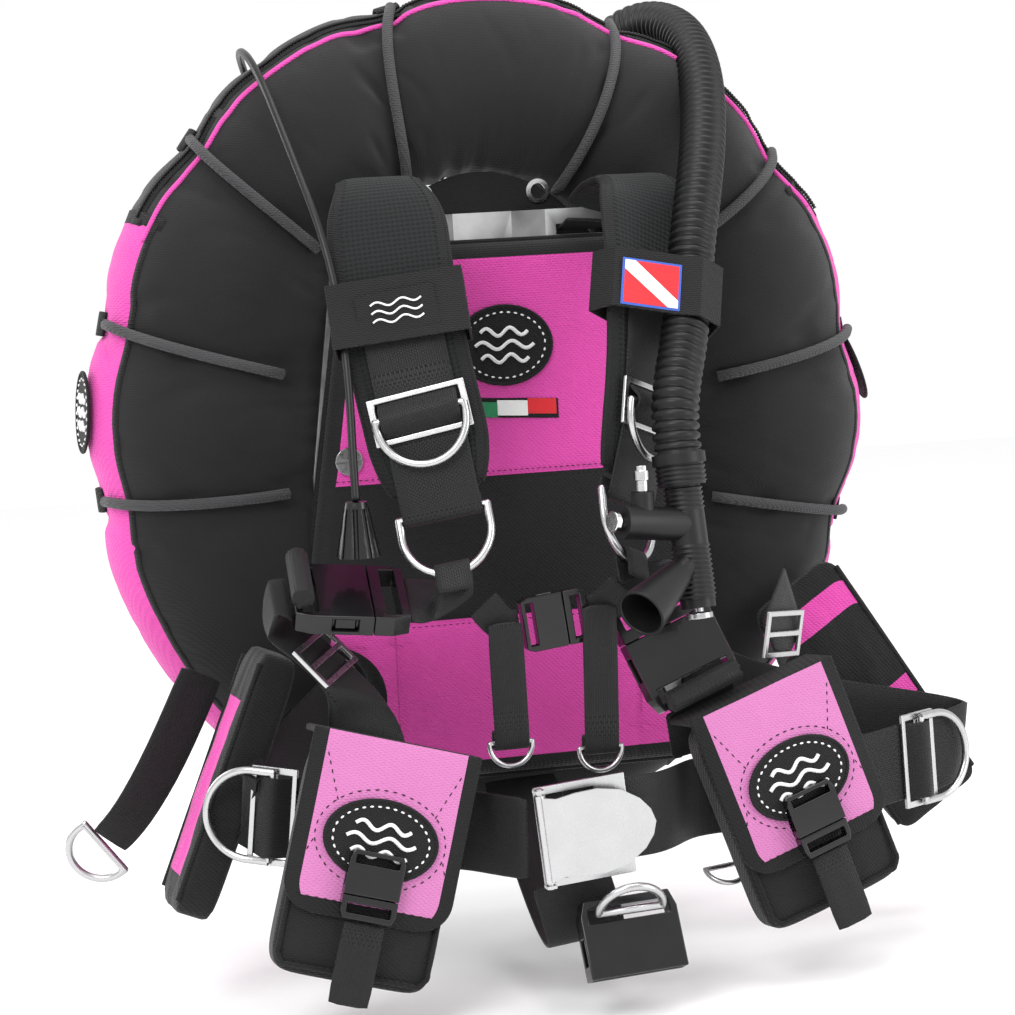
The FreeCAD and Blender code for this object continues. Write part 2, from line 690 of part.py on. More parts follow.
lower_rings = []
for letter, (bar, across, along, face) in strap_ends.items():
    hang = (along * 0.93 + face * 0.28).normalize()
    spot = frame(bar, across, hang.cross(across))
    lower_rings.append(d_ring("strap_end_ring_" + letter, spot, side="sizes.hang_side"))

FIXED_RING = frame((98, -150, -236), (0.97, 0, 0.2), (0, -0.6, 0.8))
lower_rings.append(d_ring("crotch_side_ring", FIXED_RING, half="sizes.small_ring_half",
                          side="sizes.small_ring_side", wire="sizes.small_wire"))
keep("lower_rings", *lower_rings)


# ---------------------------------------------------------------- shoulder buckles and links

def facing(origin, along, out):
    """Placement whose local Y runs along the webbing and local Z runs out."""
    across = V(*along).cross(V(*out))
    return frame(origin, across, out)


MOUTH = {"l": ((-123, -149, -48), (-0.99, 0.1, 0.08), (0.05, -0.44, 0.9)),
         "r": (( 64, -155, -79), (0.35, -0.24, -0.905), (0.02, -0.96, 0.26))}
for letter, (origin, along, out) in MOUTH.items():
    spot = facing(origin, along, out)
    keep("shoulder_male_" + letter, male_buckle("shoulder_plug_" + letter, 50, spot))
    keep("shoulder_female_" + letter, female_buckle("shoulder_socket_" + letter, 50, spot))

NARROW = 0.44
BOW = size("ring_half") + size("hang_side")


def link_web(letter, middle_rows):
    """Webbing from the strap's end ring to the plug, bunched where it rounds the bow."""
    bar, across, along, face = strap_ends[letter]
    hang = (along * 0.93 + face * 0.28).normalize()
    out = hang.cross(across)
    bow = bar + hang * BOW
    narrow = across * NARROW
    rows = [(bow + hang * down + out * lift, narrow)
            for down, lift in ((13, 5), (0, 5), (-5.4, 3.6), (-6.8, 0), (-5.4, -3.6),
                               (0, -5), (9, -5))]
    origin, run, normal = (V(*item) for item in MOUTH[letter])
    side = run.cross(normal).normalize()
    base = BUCKLES[50][3] + 2 * FIT
    rows += [(V(*centre), V(*lean)) for centre, lean in middle_rows]
    side = side * (1 if side.dot(across) > 0 else -1)
    rows += [(origin - run * (base + reach), side) for reach in (7, 0.6)]
    return ribbon(rows, size("web"), size("web_thick"))


LINKS = {"l": [((-82, -158, -52), (0.1, -0.66, -0.3))], "r": [((49, -158, -50), (0.7, 0.4, 0.1))]}
for letter, rows in LINKS.items():
    keep("link_webbing_" + letter, solid_feature("link_web_" + letter, link_web(letter, rows)))

LOWER = {
    "l": [[(-172, -144, -44, 0.12, 0.89, 0.43), (-178.4, -143.4, -43.5, 0.12, 0.89, 0.43),
           (-184, -142.5, -50, 0.12, 0.89, 0.43), (-181, -144, -62, 0.35, 0.85, 0.25),
           (-166, -148, -71, 0.45, 0.8, 0.15),
           (-144, -152, -94, 0.5, 0.8, 0.1), (-135, -153, -117, 0.85, 0.4, 0.1),
           (-130, -152, -138, 1, 0.05, 0.1), (-128, -151, -158, 1, 0.05, 0.05)]],
    "r": [[(83, -161, -125, 0.95, 0.11, 0.3), (86, -154, -132, 0.95, 0.11, 0.3),
           (89, -150, -145, 0.97, 0.1, 0.2), (92, -147, -160, 0.99, 0.05, 0.1)],
          [(163, -120, -72, 0.6, 0.7, -0.1), (150, -136, -84, 0.6, 0.7, -0.1),
           (138, -147, -99, 0.62, 0.7, -0.2)]],
}
ROLL = 7
for letter, runs in LOWER.items():
    lower = []
    for rows in runs:
        line = [(V(x, y, z), V(a, b, c).normalize()) for x, y, z, a, b, c in rows]
        lower.append(solid_feature("lower_web_" + letter, ribbon(line, size("web"), size("web_thick"))))
    origin, run, normal = (V(*item) for item in MOUTH[letter])
    side = run.cross(normal).normalize()
    centre = origin + run * 44 + normal.normalize() * (BUCKLES[50][2] / 2 + ROLL + 1.8)
    lower.append(primitive("Cylinder", "roll_" + letter, Radius=str(ROLL), Height="sizes.web",
                           spot=frame(centre - side * (size("web") / 2), run, side)))
    keep("lower_webbing_" + letter, *lower)

slides = list(shoulder_slides)
TRIGLIDES = {"l": ((-155, -150, -82.5), (0.47, 0.8, 0.12), (0.69, -0.125, -0.72)),
             "r": ((144, -141.5, -91.5), (0.6, 0.7, -0.1), (-0.57, -0.52, -0.63))}
for letter, (origin, across, along) in TRIGLIDES.items():
    side = V(*across).normalize()
    run = V(*along)
    out = run.cross(side).normalize()
    if out.y > 0:
        out = out * -1
    slides.append(slide("triglide_" + letter, frame(V(*origin) + out * 2.6, side, out)))

# ---------------------------------------------------------------- chest strap

CHEST = (V(-4, -165, -67), V(-0.994, 0, -0.11), V(0, -1, 0))
chest_spot = facing(*CHEST)
keep("chest_female", female_buckle("chest_socket", 25, chest_spot))
keep("chest_male", male_buckle("chest_plug", 25, chest_spot))
SMALL_LOOP = 3.6


def hanging_tail(name, start, bar):
    """Small webbing hanging from a buckle and looped round a small ring's bar."""
    along = (bar - start).normalize()
    rows = [(start, RIGHT), (bar - along * 12 + FRONT * SMALL_LOOP, RIGHT)]
    rows += [(bar + along * down + FRONT * out, RIGHT)
             for down, out in ((0, SMALL_LOOP), (2.6, 2.6), (SMALL_LOOP, 0), (2.6, -2.6),
                               (0, -SMALL_LOOP), (-8, -SMALL_LOOP))]
    return solid_feature(name, ribbon(rows, size("web_small"), size("web_thick")))


TAILS = {"l": (V(-44, -173, -66), V(-43, -169, -141)), "r": (V(17, -173, -60), V(14, -170, -149))}
CHEST_RUNS = {
    "l": [(-32.6, -165, -70.2, 0.11, 0, 1), (-38, -165, -70.8, 0.11, 0, 1), (-47, -166, -66, 0.4, 0, 1),
          (-56, -169, -54, 0.7, 0, 0.7)],
    "r": [(11.6, -165, -65.3, -0.11, 0, 1), (17, -165, -64.7, -0.11, 0, 1), (25, -170, -59, -0.4, 0, 1),
          (32, -177, -50, -0.7, 0.1, 0.7)],
}
for letter, rows in CHEST_RUNS.items():
    line = [(V(x, y, z), V(a, b, c).normalize()) for x, y, z, a, b, c in rows]
    run = solid_feature("chest_run_" + letter, ribbon(line, size("web_small"), size("web_thick")))
    start, bar = TAILS[letter]
    keep("chest_strap_" + letter, run, hanging_tail("chest_tail_" + letter, start, bar))
    spot = frame(bar, (1, 0, 0), (0, -1, 0))
    keep("tail_dring_" + letter, d_ring("tail_ring_" + letter, spot, half="sizes.small_ring_half",
                                        side="sizes.small_ring_side", wire="sizes.small_wire"))

# ---------------------------------------------------------------- waist belt and cam buckle

BELT = {
    "l": [[(-119, -13, -125), (-119, -30, -125), (-122, -36, -126), (-136, -49, -138), (-158, -62, -150),
           (-175, -82, -161), (-181, -101, -168), (-197, -117, -173)],
          [(-156, -149, -186), (-138, -153, -187), (-104, -158, -190), (-76, -166, -192),
           (-63, -190, -193), (-47, -211, -194)]],
    "r": [[(119, -13, -125), (119, -30, -125), (122, -36, -126), (136, -50, -138), (166, -64, -150),
           (220, -70, -164), (268, -72, -174), (292, -82, -179), (283, -95, -182)],
          [(206, -131, -189), (160, -141, -190), (110, -146, -190), (78, -153, -189),
           (60, -180, -188), (40, -203, -187.5), (22, -208.5, -187), (-22, -208.5, -190)]],
}
WAIST_RINGS = {"l": (V(-186, -129, -179), V(0.85, -0.5, -0.12)),
               "r": (V(246, -112, -186), V(-0.9, -0.43, -0.04))}
belts = []
for letter, (back_run, front_run) in BELT.items():
    up = V(0, 0, 1) if letter == "l" else DOWN
    centre, along = WAIST_RINGS[letter]
    along = along.normalize()
    across = (up - along * up.dot(along)).normalize()
    face = along.cross(across)
    hump_rows = [(centre + along * down + face * out, across)
                 for down, out in ((-17, 0), (-11.2, 0.2), (-3.6, 10.9), (3.6, 10.9), (11.2, 0.2), (17, 0))]
    rows = [(V(*point), up) for point in back_run] + hump_rows + [(V(*point), up) for point in front_run]
    belts.append(solid_feature("belt_" + letter, ribbon(rows, size("web"), size("web_thick"))))
    slides.append(slide("waist_slide_" + letter, frame(centre + face * 1.9, across, face)))
    ring_spot = frame(centre + face * 6.9, across * -1, face)
    keep("waist_dring_" + letter, d_ring("waist_ring_" + letter, ring_spot, side="sizes.waist_side"))
HIP_TAIL = [(V(-212, -46, -98), V(0.9, 0.2, -0.35)), (V(-238, -46, -150), V(0.9, 0.2, -0.4)),
            (V(-262, -40, -188), V(0.75, 0.3, -0.55)), (V(-276, -34, -202), V(0.65, 0.3, -0.6))]
belts.append(solid_feature("hip_tail", ribbon(HIP_TAIL, size("web") * 0.6, size("web_thick"))))
keep("waist_belt", *belts)
keep("webbing_slides", *slides)
END_RING = frame((-279, -32, -206), (0.62, 0.3, -0.62), (-0.3, -0.9, -0.25))
keep("end_dring", d_ring("end_ring", END_RING, side="sizes.ring_side", half="sizes.crotch_half"))

BUCKLE_AT = V(-12, -213, -191)
BUCKLE_RUN = V(0.995, 0, 0.08)
BUCKLE_UP = FRONT.cross(BUCKLE_RUN).normalize()
frame_body = new_body("waist_frame")
rim = [("-frame_half_x", "-frame_half_z"), ("frame_half_x", "-frame_half_z"),
       ("frame_half_x", "frame_half_z"), ("-frame_half_x", "frame_half_z")]
gate = [("-gate_out", "-gate_half"), ("gate_back", "-gate_half"), ("gate_back", "gate_half"),
        ("-gate_out", "gate_half")]
frame_sketch = outline_sketch(frame_body, "frame_outline", "XY_Plane", [rim, gate])
pad(frame_body, frame_sketch, "frame_thick")
frame_body.Placement = frame(BUCKLE_AT + FRONT * 0.5, BUCKLE_RUN, FRONT)
keep("waist_buckle_frame", frame_body)
latch_body = new_body("waist_latch")
tongue = [("-latch_x0", "-latch_y0"), ("-latch_x1", "-latch_y1"), ("-latch_x2", "-latch_y2"),
          ("latch_x3", "-latch_y3"), ("latch_x4", "-latch_y4"), ("latch_x5", "-latch_y5"),
          ("latch_x6", "-latch_y6"), ("latch_x7", 0), ("latch_x6", "latch_y6"),
          ("latch_x5", "latch_y5"), ("latch_x4", "latch_y4"), ("latch_x3", "latch_y3"),
          ("-latch_x2", "latch_y2"), ("-latch_x1", "latch_y1"), ("-latch_x0", "latch_y0")]
latch_sketch = outline_sketch(latch_body, "latch_outline", "XY_Plane", [tongue])
pad(latch_body, latch_sketch, "latch_thick")
PIN_AT = BUCKLE_AT - BUCKLE_RUN * 27 + FRONT * 8.2
latch_body.Placement = frame(BUCKLE_AT + FRONT * 11.5 + BUCKLE_RUN * 6, BUCKLE_RUN, FRONT)
knuckle_spot = frame(PIN_AT - BUCKLE_UP * (size("latch_tall") / 2), BUCKLE_RUN, BUCKLE_UP)
knuckle = primitive("Cylinder", "latch_knuckle", Radius="sizes.pin_r + 1.6", Height="sizes.latch_tall",
                    spot=knuckle_spot)
bore = primitive("Cylinder", "latch_bore", Radius="sizes.pin_r + 0.06", Height="sizes.latch_tall + 4",
                 spot=frame(PIN_AT - BUCKLE_UP * (size("latch_tall") / 2 + 2), BUCKLE_RUN, BUCKLE_UP))
keep("waist_buckle_latch", without("waist_buckle_latch_solid",
                                   joined("latch_whole", latch_body, knuckle), bore))
pin = primitive("Cylinder", "latch_pin", Radius="sizes.pin_r", Height="sizes.frame_tall",
                spot=frame(PIN_AT - BUCKLE_UP * (size("frame_tall") / 2), BUCKLE_RUN, BUCKLE_UP))
cheeks = []
for sign in (-1, 1):
    cheek = primitive("Box", "pin_cheek", Length="6", Width="2", Height="7.7")
    cheek.Placement = frame(PIN_AT - BUCKLE_RUN * 3 + BUCKLE_UP * (sign * 29.4 - 1) + FRONT * -4.2,
                            BUCKLE_RUN, FRONT)
    cheeks.append(cheek)
keep("waist_buckle_pin", joined("waist_buckle_pin_solid", pin, *cheeks))

# ---------------------------------------------------------------- crotch strap

CROTCH = [(2, -14, -191), (1, -50, -208), (-1, -100, -238), (-3, -140, -258), (-4, -168, -267),
          (-5, -185, -266), (-8, -194, -257), (-13, -197, -240), (-18, -198, -222)]
crotch_rows = [(V(*point), V(0.99, 0, 0.08)) for point in CROTCH]
keep("crotch_strap", solid_feature("crotch_web", ribbon(crotch_rows, size("web"), size("web_thick"))))
CROTCH_RUN = V(-0.05, 0.35, 0.93).normalize()
CROTCH_AT = V(12, -209, -236) - CROTCH_RUN * BUCKLES[50][1]
crotch_spot = facing(CROTCH_AT, CROTCH_RUN, V(0, -0.93, 0.35))
keep("crotch_buckle", female_buckle("crotch_socket", 50, crotch_spot))
crotch_ring = frame((12, -224, -241), (-0.99, 0, -0.08), (0, -0.75, -0.6))
keep("crotch_dring", d_ring("crotch_ring", crotch_ring, half="sizes.crotch_half",
                            side="sizes.small_ring_side"))

# ---------------------------------------------------------------- pockets

POCKETS = {"l": (V(-121, -200, -129), V(0.95, -0.08, -0.27), V(-0.165, -0.09, -0.98)),
           "r": (V(114, -187, -119), V(0.94, 0.09, 0.31), V(0.31, -0.05, -0.95))}
POCKET = {"wide": 100, "tall": 140, "deep": 32, "wall": 2, "flap_wide": 108, "flap_tall": 112,
          "flap": 4, "roof": 8}
bags = []
flaps = []
females = []
for letter, (origin, across, down) in POCKETS.items():
    across = across.normalize()
    out = down.cross(across).normalize()
    down = across.cross(out)
    spot = frame(origin, across, out)
    low = POCKET["roof"] + POCKET["tall"]
    bag = box("bag_" + letter, str(POCKET["wide"]), str(POCKET["tall"]), str(POCKET["deep"]),
              (0, str(-POCKET["roof"] - POCKET["tall"] / 2), str(-POCKET["deep"] / 2)))
    inner = box("bag_room_" + letter, str(POCKET["wide"] - 2 * POCKET["wall"]), str(POCKET["tall"]),
                str(POCKET["deep"] - 2 * POCKET["wall"]),
                (0, str(-POCKET["roof"] - POCKET["tall"] / 2 + POCKET["wall"]), str(-POCKET["deep"] / 2)))
    item = without("pocket_" + letter, bag, inner)
    item.Placement = spot
    bags.append(item)
    front = box("flap_front_" + letter, str(POCKET["flap_wide"]), str(POCKET["flap_tall"]),
                str(POCKET["flap"]), (0, str(-POCKET["flap_tall"] / 2), str(POCKET["flap"] / 2 + 0.5)))
    roof = box("flap_roof_" + letter, str(POCKET["flap_wide"]), str(POCKET["flap"]),
               str(POCKET["deep"] + 0.5), (0, str(-POCKET["flap"] / 2), str(-POCKET["deep"] / 2 + 0.25)))
    item = joined("flap_" + letter, front, roof)
    item.Placement = spot
    flaps.append(item)
    lock = origin + down * (POCKET["flap_tall"] - 18) + out * 10.5
    lock_spot = facing(lock, down * -1, out)
    females.append(female_buckle("pocket_socket_" + letter, 25, lock_spot))
    keep("pocket_male_" + letter, male_buckle("pocket_plug_" + letter, 25, lock_spot))
    tail_rows = [(lock + down * 16 + out * -1, across), (lock + down * 24 - out * 1, across),
                 (lock + down * 66 - out * 2.5, across)]
    keep("pocket_strap_" + letter, solid_feature("pocket_web_" + letter,
                                                 ribbon(tail_rows, 25, size("web_thick"))))
keep("pocket_bags", *bags)
keep("pocket_flaps", *flaps)
keep("pocket_females", *females)

SIDE = {"l": (V(-186, -80, -78), V(0, -1, 0), V(-0.387, 0, -0.92), 58, 172, 22),
        "r": (V(190, -50, -74), V(0.84, 0, 0.54), V(0.54, 0, -0.84), 70, 186, 14)}
sides = []
for letter, (origin, across, down, wide, tall, deep) in SIDE.items():
    out = down.cross(across).normalize()
    slab = box("side_slab_" + letter, str(wide), str(tall), str(deep), (0, str(-tall / 2), str(-deep / 2)))
    slab.setExpression(".Placement.Base.x", None)
    slab.setExpression(".Placement.Base.y", None)
    slab.setExpression(".Placement.Base.z", None)
    spot = frame(origin, across, out)
    slab.Placement = spot.multiply(Placement(V(-wide / 2, -tall, -deep), Rotation()))
    sides.append(slab)
keep("side_pockets", *sides)

# ---------------------------------------------------------------- sleeves

def sleeve(letter, corners, long):
    """Fabric band round a shoulder strap, from the corners of its inside."""
    centre, across, along, face = strap_axes(letter, 4, 0.97)
    start = centre - along * (long / 2)
    points = [start + across * side + face * out for side, out in corners]
    inside = Part.Face(Part.makePolygon(points + points[:1]))
    outside = Part.Face(inside.makeOffset2D(1.4).OuterWire)
    return outside.cut(inside).extrude(along * long)


FLAT_SLEEVE = [(-41.5, -8.5), (41.5, -8.5), (41.5, 12.5), (-41.5, 12.5)]
HOSE_SIDE = 7.5
HOSE_OUT = 29.4
HOSE_SLEEVE = [(-42.5, -7.5), (42.5, -7.5), (42.5, 10), (HOSE_SIDE + 17, HOSE_OUT + 7),
               (HOSE_SIDE + 10, HOSE_OUT + 17), (HOSE_SIDE - 10, HOSE_OUT + 17),
               (HOSE_SIDE - 17, HOSE_OUT + 7), (-42.5, 10)]
keep("strap_sleeves", solid_feature("sleeve_l", sleeve("l", FLAT_SLEEVE, 42)),
     solid_feature("sleeve_r", sleeve("r", HOSE_SLEEVE, 40)))

# ---------------------------------------------------------------- inflator

INFLATOR = V(70.5, -182, 22.8)
AXIS = V(0.05, -0.12, -0.99).normalize()
BLOCK_RUN = V(-0.94, -0.3, 0.12).normalize()
up_axis = AXIS * -1
barrel = turned("inflator_barrel", [
    (0, "barb_long"), ("barb_r", "barb_long"), ("barb_r", 0), ("collar_r", 0),
    ("collar_r", "-collar_long"), ("barrel_r", "-collar_long"), ("barrel_r", "-barrel_long"),
    (0, "-barrel_long")], frame(INFLATOR, RIGHT, up_axis))
BLOCK = INFLATOR + AXIS * 36
block = primitive("Cylinder", "valve_block", Radius="sizes.valve_r", Height="sizes.valve_long",
                  spot=frame(BLOCK, up_axis, BLOCK_RUN))
POST = BLOCK + BLOCK_RUN * 33
post = primitive("Cylinder", "valve_post", Radius="sizes.post_r", Height="sizes.post_tall + 6",
                 spot=frame(POST, RIGHT, V(0, 0, 1)))
block_end = BLOCK + BLOCK_RUN * size("valve_long")
button_bore = primitive("Cylinder", "button_bore", Radius="sizes.stem_r + 0.4", Height="16",
                        spot=frame(block_end - BLOCK_RUN * 14, up_axis, BLOCK_RUN))
BARREL_END = INFLATOR + AXIS * size("barrel_long")
drain_bore = primitive("Cylinder", "drain_bore", Radius="sizes.stem_r + 0.4", Height="16",
                       spot=frame(BARREL_END - AXIS * 14, RIGHT, AXIS))
MOUTH_RUN = V(-0.72, -0.55, -0.42).normalize()
MOUTH_STUB = 17
MOUTH_AT = INFLATOR + AXIS * 58 + MOUTH_RUN * (MOUTH_STUB + 0.3)
stub = primitive("Cylinder", "mouth_stub", Radius="sizes.mouth_small - 1", Height=str(MOUTH_STUB),
                 spot=frame(INFLATOR + AXIS * 58, V(0, 0, 1), MOUTH_RUN))
keep("inflator_body", without("inflator_housing", joined("inflator_solid", barrel, block, post, stub),
                              button_bore, drain_bore))
BUTTON_GAP = 3


def push_button(name, end, direction, head):
    stem = primitive("Cylinder", name + "_stem", Radius="sizes.stem_r",
                     Height=f"sizes.stem_long + {BUTTON_GAP}",
                     spot=frame(end - direction * size("stem_long"), V(0.3, 0.5, 0.8), direction))
    cap = primitive("Cylinder", name + "_cap", Radius=head, Height="sizes.button_long",
                    spot=frame(end + direction * BUTTON_GAP, V(0.3, 0.5, 0.8), direction))
    return joined(name + "_solid", stem, cap)


keep("inflate_button", push_button("inflate_button", block_end, BLOCK_RUN, "sizes.button_r"))
keep("deflate_button", push_button("deflate_button", BARREL_END, AXIS, "sizes.drain_r"))
nipple_at = POST + V(0, 0, 1) * (size("post_tall") + 6.3)
keep("inflator_nipple", turned("nipple", [
    (0, 0), ("nipple_neck", 0), ("nipple_neck", "post_r"), ("nipple_r", "post_r"),
    ("nipple_r", "post_tall"), ("nipple_neck", "post_tall"), ("nipple_neck", "mouth_big"),
    (0, "mouth_big")], frame(nipple_at, RIGHT, V(0, 0, 1))))
mouth_spot = frame(MOUTH_AT, V(0, 0, 1), MOUTH_RUN)
horn = primitive("Cone", "mouth_horn", Radius1="sizes.mouth_small", Radius2="sizes.mouth_big",
                 Height="sizes.mouth_long", spot=mouth_spot)
throat = primitive("Cone", "mouth_throat", Radius1="sizes.mouth_small - sizes.mouth_wall",
                   Radius2="sizes.mouth_big - sizes.mouth_wall", Height="sizes.mouth_long",
                   spot=mouth_spot.multiply(Placement(V(0, 0, 0.01), Rotation())))
keep("mouthpiece", without("mouthpiece_shell", horn, throat))

HOSE = [V(ELBOW.x, ELBOW_REAR, 262.5), V(ELBOW.x, ELBOW_REAR, 285), V(130, 97, 305), V(149, 75, 312),
        V(158, 34, 301), V(152, -17, 272), V(137, -63, 235), V(119, -102, 198), V(104, -127, 162),
        V(95, -141, 128), V(86, -155, 98), V(75, -170, 74), INFLATOR + up_axis * 26,
        INFLATOR + up_axis * 0.3]
hose_out, hose_length, hose_bend, hose_share = tube(HOSE, size("hose_r"))
hose_in = tube(HOSE, size("hose_bore"))[0]
print("hose length", round(hose_length), "least radius", round(hose_bend), "share", round(hose_share, 3))
keep("inflator_hose", solid_feature("hose", hose_out.cut(hose_in)))


def clamp_ring(name, spot):
    outer = primitive("Cylinder", name + "_out", Radius="sizes.hose_r + 0.2 + sizes.clamp_thick",
                      Height="sizes.clamp_wide")
    inner = primitive("Cylinder", name + "_in", Radius="sizes.hose_r + 0.2",
                      Height="sizes.clamp_wide + 2", spot=Placement(V(0, 0, -1), Rotation()))
    item = without(name, outer, inner)
    item.Placement = spot
    return item


keep("hose_clamps", clamp_ring("clamp_low", frame(INFLATOR + up_axis * 1.2, RIGHT, up_axis)),
     clamp_ring("clamp_high", frame(HOSE[0] + V(0, 0, 1.2), RIGHT, V(0, 0, 1))))

elbow_tube = primitive("Cylinder", "elbow_neck", Radius="sizes.elbow_r", Height="41",
                       spot=frame((ELBOW.x, 62, ELBOW.z), RIGHT, V(0, 1, 0)))
elbow_flange = primitive("Cylinder", "elbow_plate", Radius="sizes.elbow_flange",
                         Height="sizes.elbow_flange_thick", spot=frame((ELBOW.x, 81.5, ELBOW.z), RIGHT,
                                                                       V(0, 1, 0)))
elbow_ball = primitive("Sphere", "elbow_corner", Radius="sizes.elbow_r",
                       spot=Placement(V(ELBOW.x, ELBOW_REAR, ELBOW.z), Rotation()))
elbow_up = primitive("Cylinder", "elbow_outlet", Radius="sizes.elbow_r", Height="16",
                     spot=Placement(V(ELBOW.x, ELBOW_REAR, ELBOW.z), Rotation()))
elbow_barb = primitive("Cylinder", "elbow_barb", Radius="sizes.barb_r - 0.4", Height="27",
                       spot=Placement(V(ELBOW.x, ELBOW_REAR, ELBOW.z), Rotation()))
keep("hose_elbow", joined("hose_elbow_solid", elbow_tube, elbow_flange, elbow_ball, elbow_up,
                          elbow_barb))

# ---------------------------------------------------------------- dump valve and its pull

valve_spot = frame((DUMP.x, 81.5, DUMP.z), RIGHT, V(0, 1, 0))
cup = turned("dump_cup", [("seat_r", 0), ("dump_r", 0), ("dump_r", "cup_deep"), ("cup_r", "cup_deep"),
                          ("cup_r", "cup_floor"), ("seat_r", "cup_floor")], valve_spot)
neck_out = primitive("Cylinder", "dump_neck_out", Radius="sizes.dump_neck", Height="14",
                     spot=frame((DUMP.x, 68, DUMP.z), RIGHT, V(0, 1, 0)))
neck_in = primitive("Cylinder", "dump_neck_in", Radius="sizes.seat_r", Height="20",
                    spot=frame((DUMP.x, 66, DUMP.z), RIGHT, V(0, 1, 0)))
dump_body = without("dump_body_solid", joined("dump_body_whole", cup, neck_out), neck_in)
seal_spot = frame((DUMP.x, 84.8, DUMP.z), RIGHT, V(0, 1, 0))
keep("dump_valve_seal", turned("dump_seal", [(0, 0), ("seal_r", 0), ("seal_r", "seal_thick"),
                                             ("rod_r", "seal_thick"), ("rod_r", "rod_long"),
                                             (0, "rod_long")], seal_spot))
cap_spot = frame((DUMP.x, 81.5 + size("cup_deep") + 0.3, DUMP.z), RIGHT, V(0, 1, 0))
keep("dump_valve_body", dump_body, turned("dump_cap", [("cap_hole", 0), ("cap_r", 0), ("cap_r", "cap_thick"),
                                           ("cap_hole", "cap_thick")], cap_spot))

KNOB = V(-128, -150, 13)
PULL = [V(-125.5, 90, 261.5), V(-131, 90, 274), V(-138, 80, 289), V(-145, 56, 298), V(-149, 26, 299),
        V(-149, -4, 291), V(-146, -32, 271), V(-142, -54, 246), V(-137, -76, 217), V(-131, -95, 187),
        V(-126.5, -108.5, 157), V(-124, -118, 126), V(-124, -128, 96), V(-125, -136, 68),
        V(-127, -144, 40), KNOB + V(0.1, 0.2, 0.9)]
pull, pull_length, pull_bend, pull_share = tube(PULL, size("pull_r"))
print("pull length", round(pull_length), "least radius", round(pull_bend), "share", round(pull_share, 3))
keep("dump_cord", solid_feature("pull_cord", pull))
knob = turned("knob", [(0, 0), ("knob_top", 0), ("knob_low", "-knob_tall"), (0, "-knob_tall")],
              frame(KNOB, RIGHT, V(0, 0, 1)))
flutes = []
FLUTES = 10
for number in range(FLUTES):
    turn = 2 * math.pi * number / FLUTES
    flute = primitive("Cylinder", "knob_flute", Radius="sizes.knob_groove", Height="sizes.knob_tall")
    reach = V(math.cos(turn), math.sin(turn), 0)
    lean = reach * (size("knob_low") - size("knob_top")) + DOWN * size("knob_tall")
    start = KNOB + reach * (size("knob_top") + 0.4) + DOWN * 4
    flute.Placement = frame(start, reach, lean)
    flutes.append(flute)
keep("dump_knob", without("dump_knob_solid", knob, *flutes))

# ---------------------------------------------------------------- write the files

doc.recompute()
for item in doc.Objects:
    if "Invalid" in item.State or "Error" in item.State:
        raise RuntimeError(f"{item.Label} failed: {item.State}")
for label, objects in subparts.items():
    shapes = [item.Shape for item in objects]
    for shape in shapes:
        if shape.isNull() or not shape.isValid() or shape.Volume <= 0:
            raise RuntimeError(f"{label} has no valid solid")
    whole = shapes[0] if len(shapes) == 1 else Part.makeCompound(shapes)
    whole.exportStep(f"parts/{label}.step")
print(len(subparts), "sub-parts")
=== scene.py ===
import bpy, bmesh, json, math
from mathutils import Vector, Matrix, noise

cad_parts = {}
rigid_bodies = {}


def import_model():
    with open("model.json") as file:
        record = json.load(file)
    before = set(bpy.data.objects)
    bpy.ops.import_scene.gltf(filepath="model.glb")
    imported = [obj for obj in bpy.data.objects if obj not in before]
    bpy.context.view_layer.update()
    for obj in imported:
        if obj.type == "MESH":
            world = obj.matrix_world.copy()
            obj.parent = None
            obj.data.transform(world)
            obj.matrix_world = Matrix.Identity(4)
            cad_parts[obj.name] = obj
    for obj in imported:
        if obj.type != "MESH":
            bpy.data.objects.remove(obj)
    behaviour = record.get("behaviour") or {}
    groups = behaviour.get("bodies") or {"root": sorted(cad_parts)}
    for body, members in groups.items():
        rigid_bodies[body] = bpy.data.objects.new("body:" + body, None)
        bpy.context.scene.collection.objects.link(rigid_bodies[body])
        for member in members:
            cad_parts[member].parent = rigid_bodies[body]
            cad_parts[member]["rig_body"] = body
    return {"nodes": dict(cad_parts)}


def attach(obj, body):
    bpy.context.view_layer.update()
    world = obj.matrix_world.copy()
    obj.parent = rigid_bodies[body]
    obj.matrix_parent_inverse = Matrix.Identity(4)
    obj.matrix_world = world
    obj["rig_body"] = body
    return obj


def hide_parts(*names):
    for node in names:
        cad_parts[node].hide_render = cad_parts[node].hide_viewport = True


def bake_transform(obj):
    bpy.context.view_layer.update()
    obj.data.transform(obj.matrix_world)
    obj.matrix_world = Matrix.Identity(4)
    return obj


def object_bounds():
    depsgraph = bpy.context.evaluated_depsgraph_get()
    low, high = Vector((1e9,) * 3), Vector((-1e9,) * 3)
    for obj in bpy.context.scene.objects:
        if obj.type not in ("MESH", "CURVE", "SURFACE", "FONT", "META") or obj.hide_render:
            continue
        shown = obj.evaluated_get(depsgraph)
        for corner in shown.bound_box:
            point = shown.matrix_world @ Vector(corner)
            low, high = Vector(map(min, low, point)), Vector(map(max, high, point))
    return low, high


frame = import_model()
cad_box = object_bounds()
NODES = frame["nodes"]
MM = 0.001
FRONT = Vector((0, -1, 0))
UP = Vector((0, 0, 1))

# ------------------------------------------------------------------ camera, floor and light

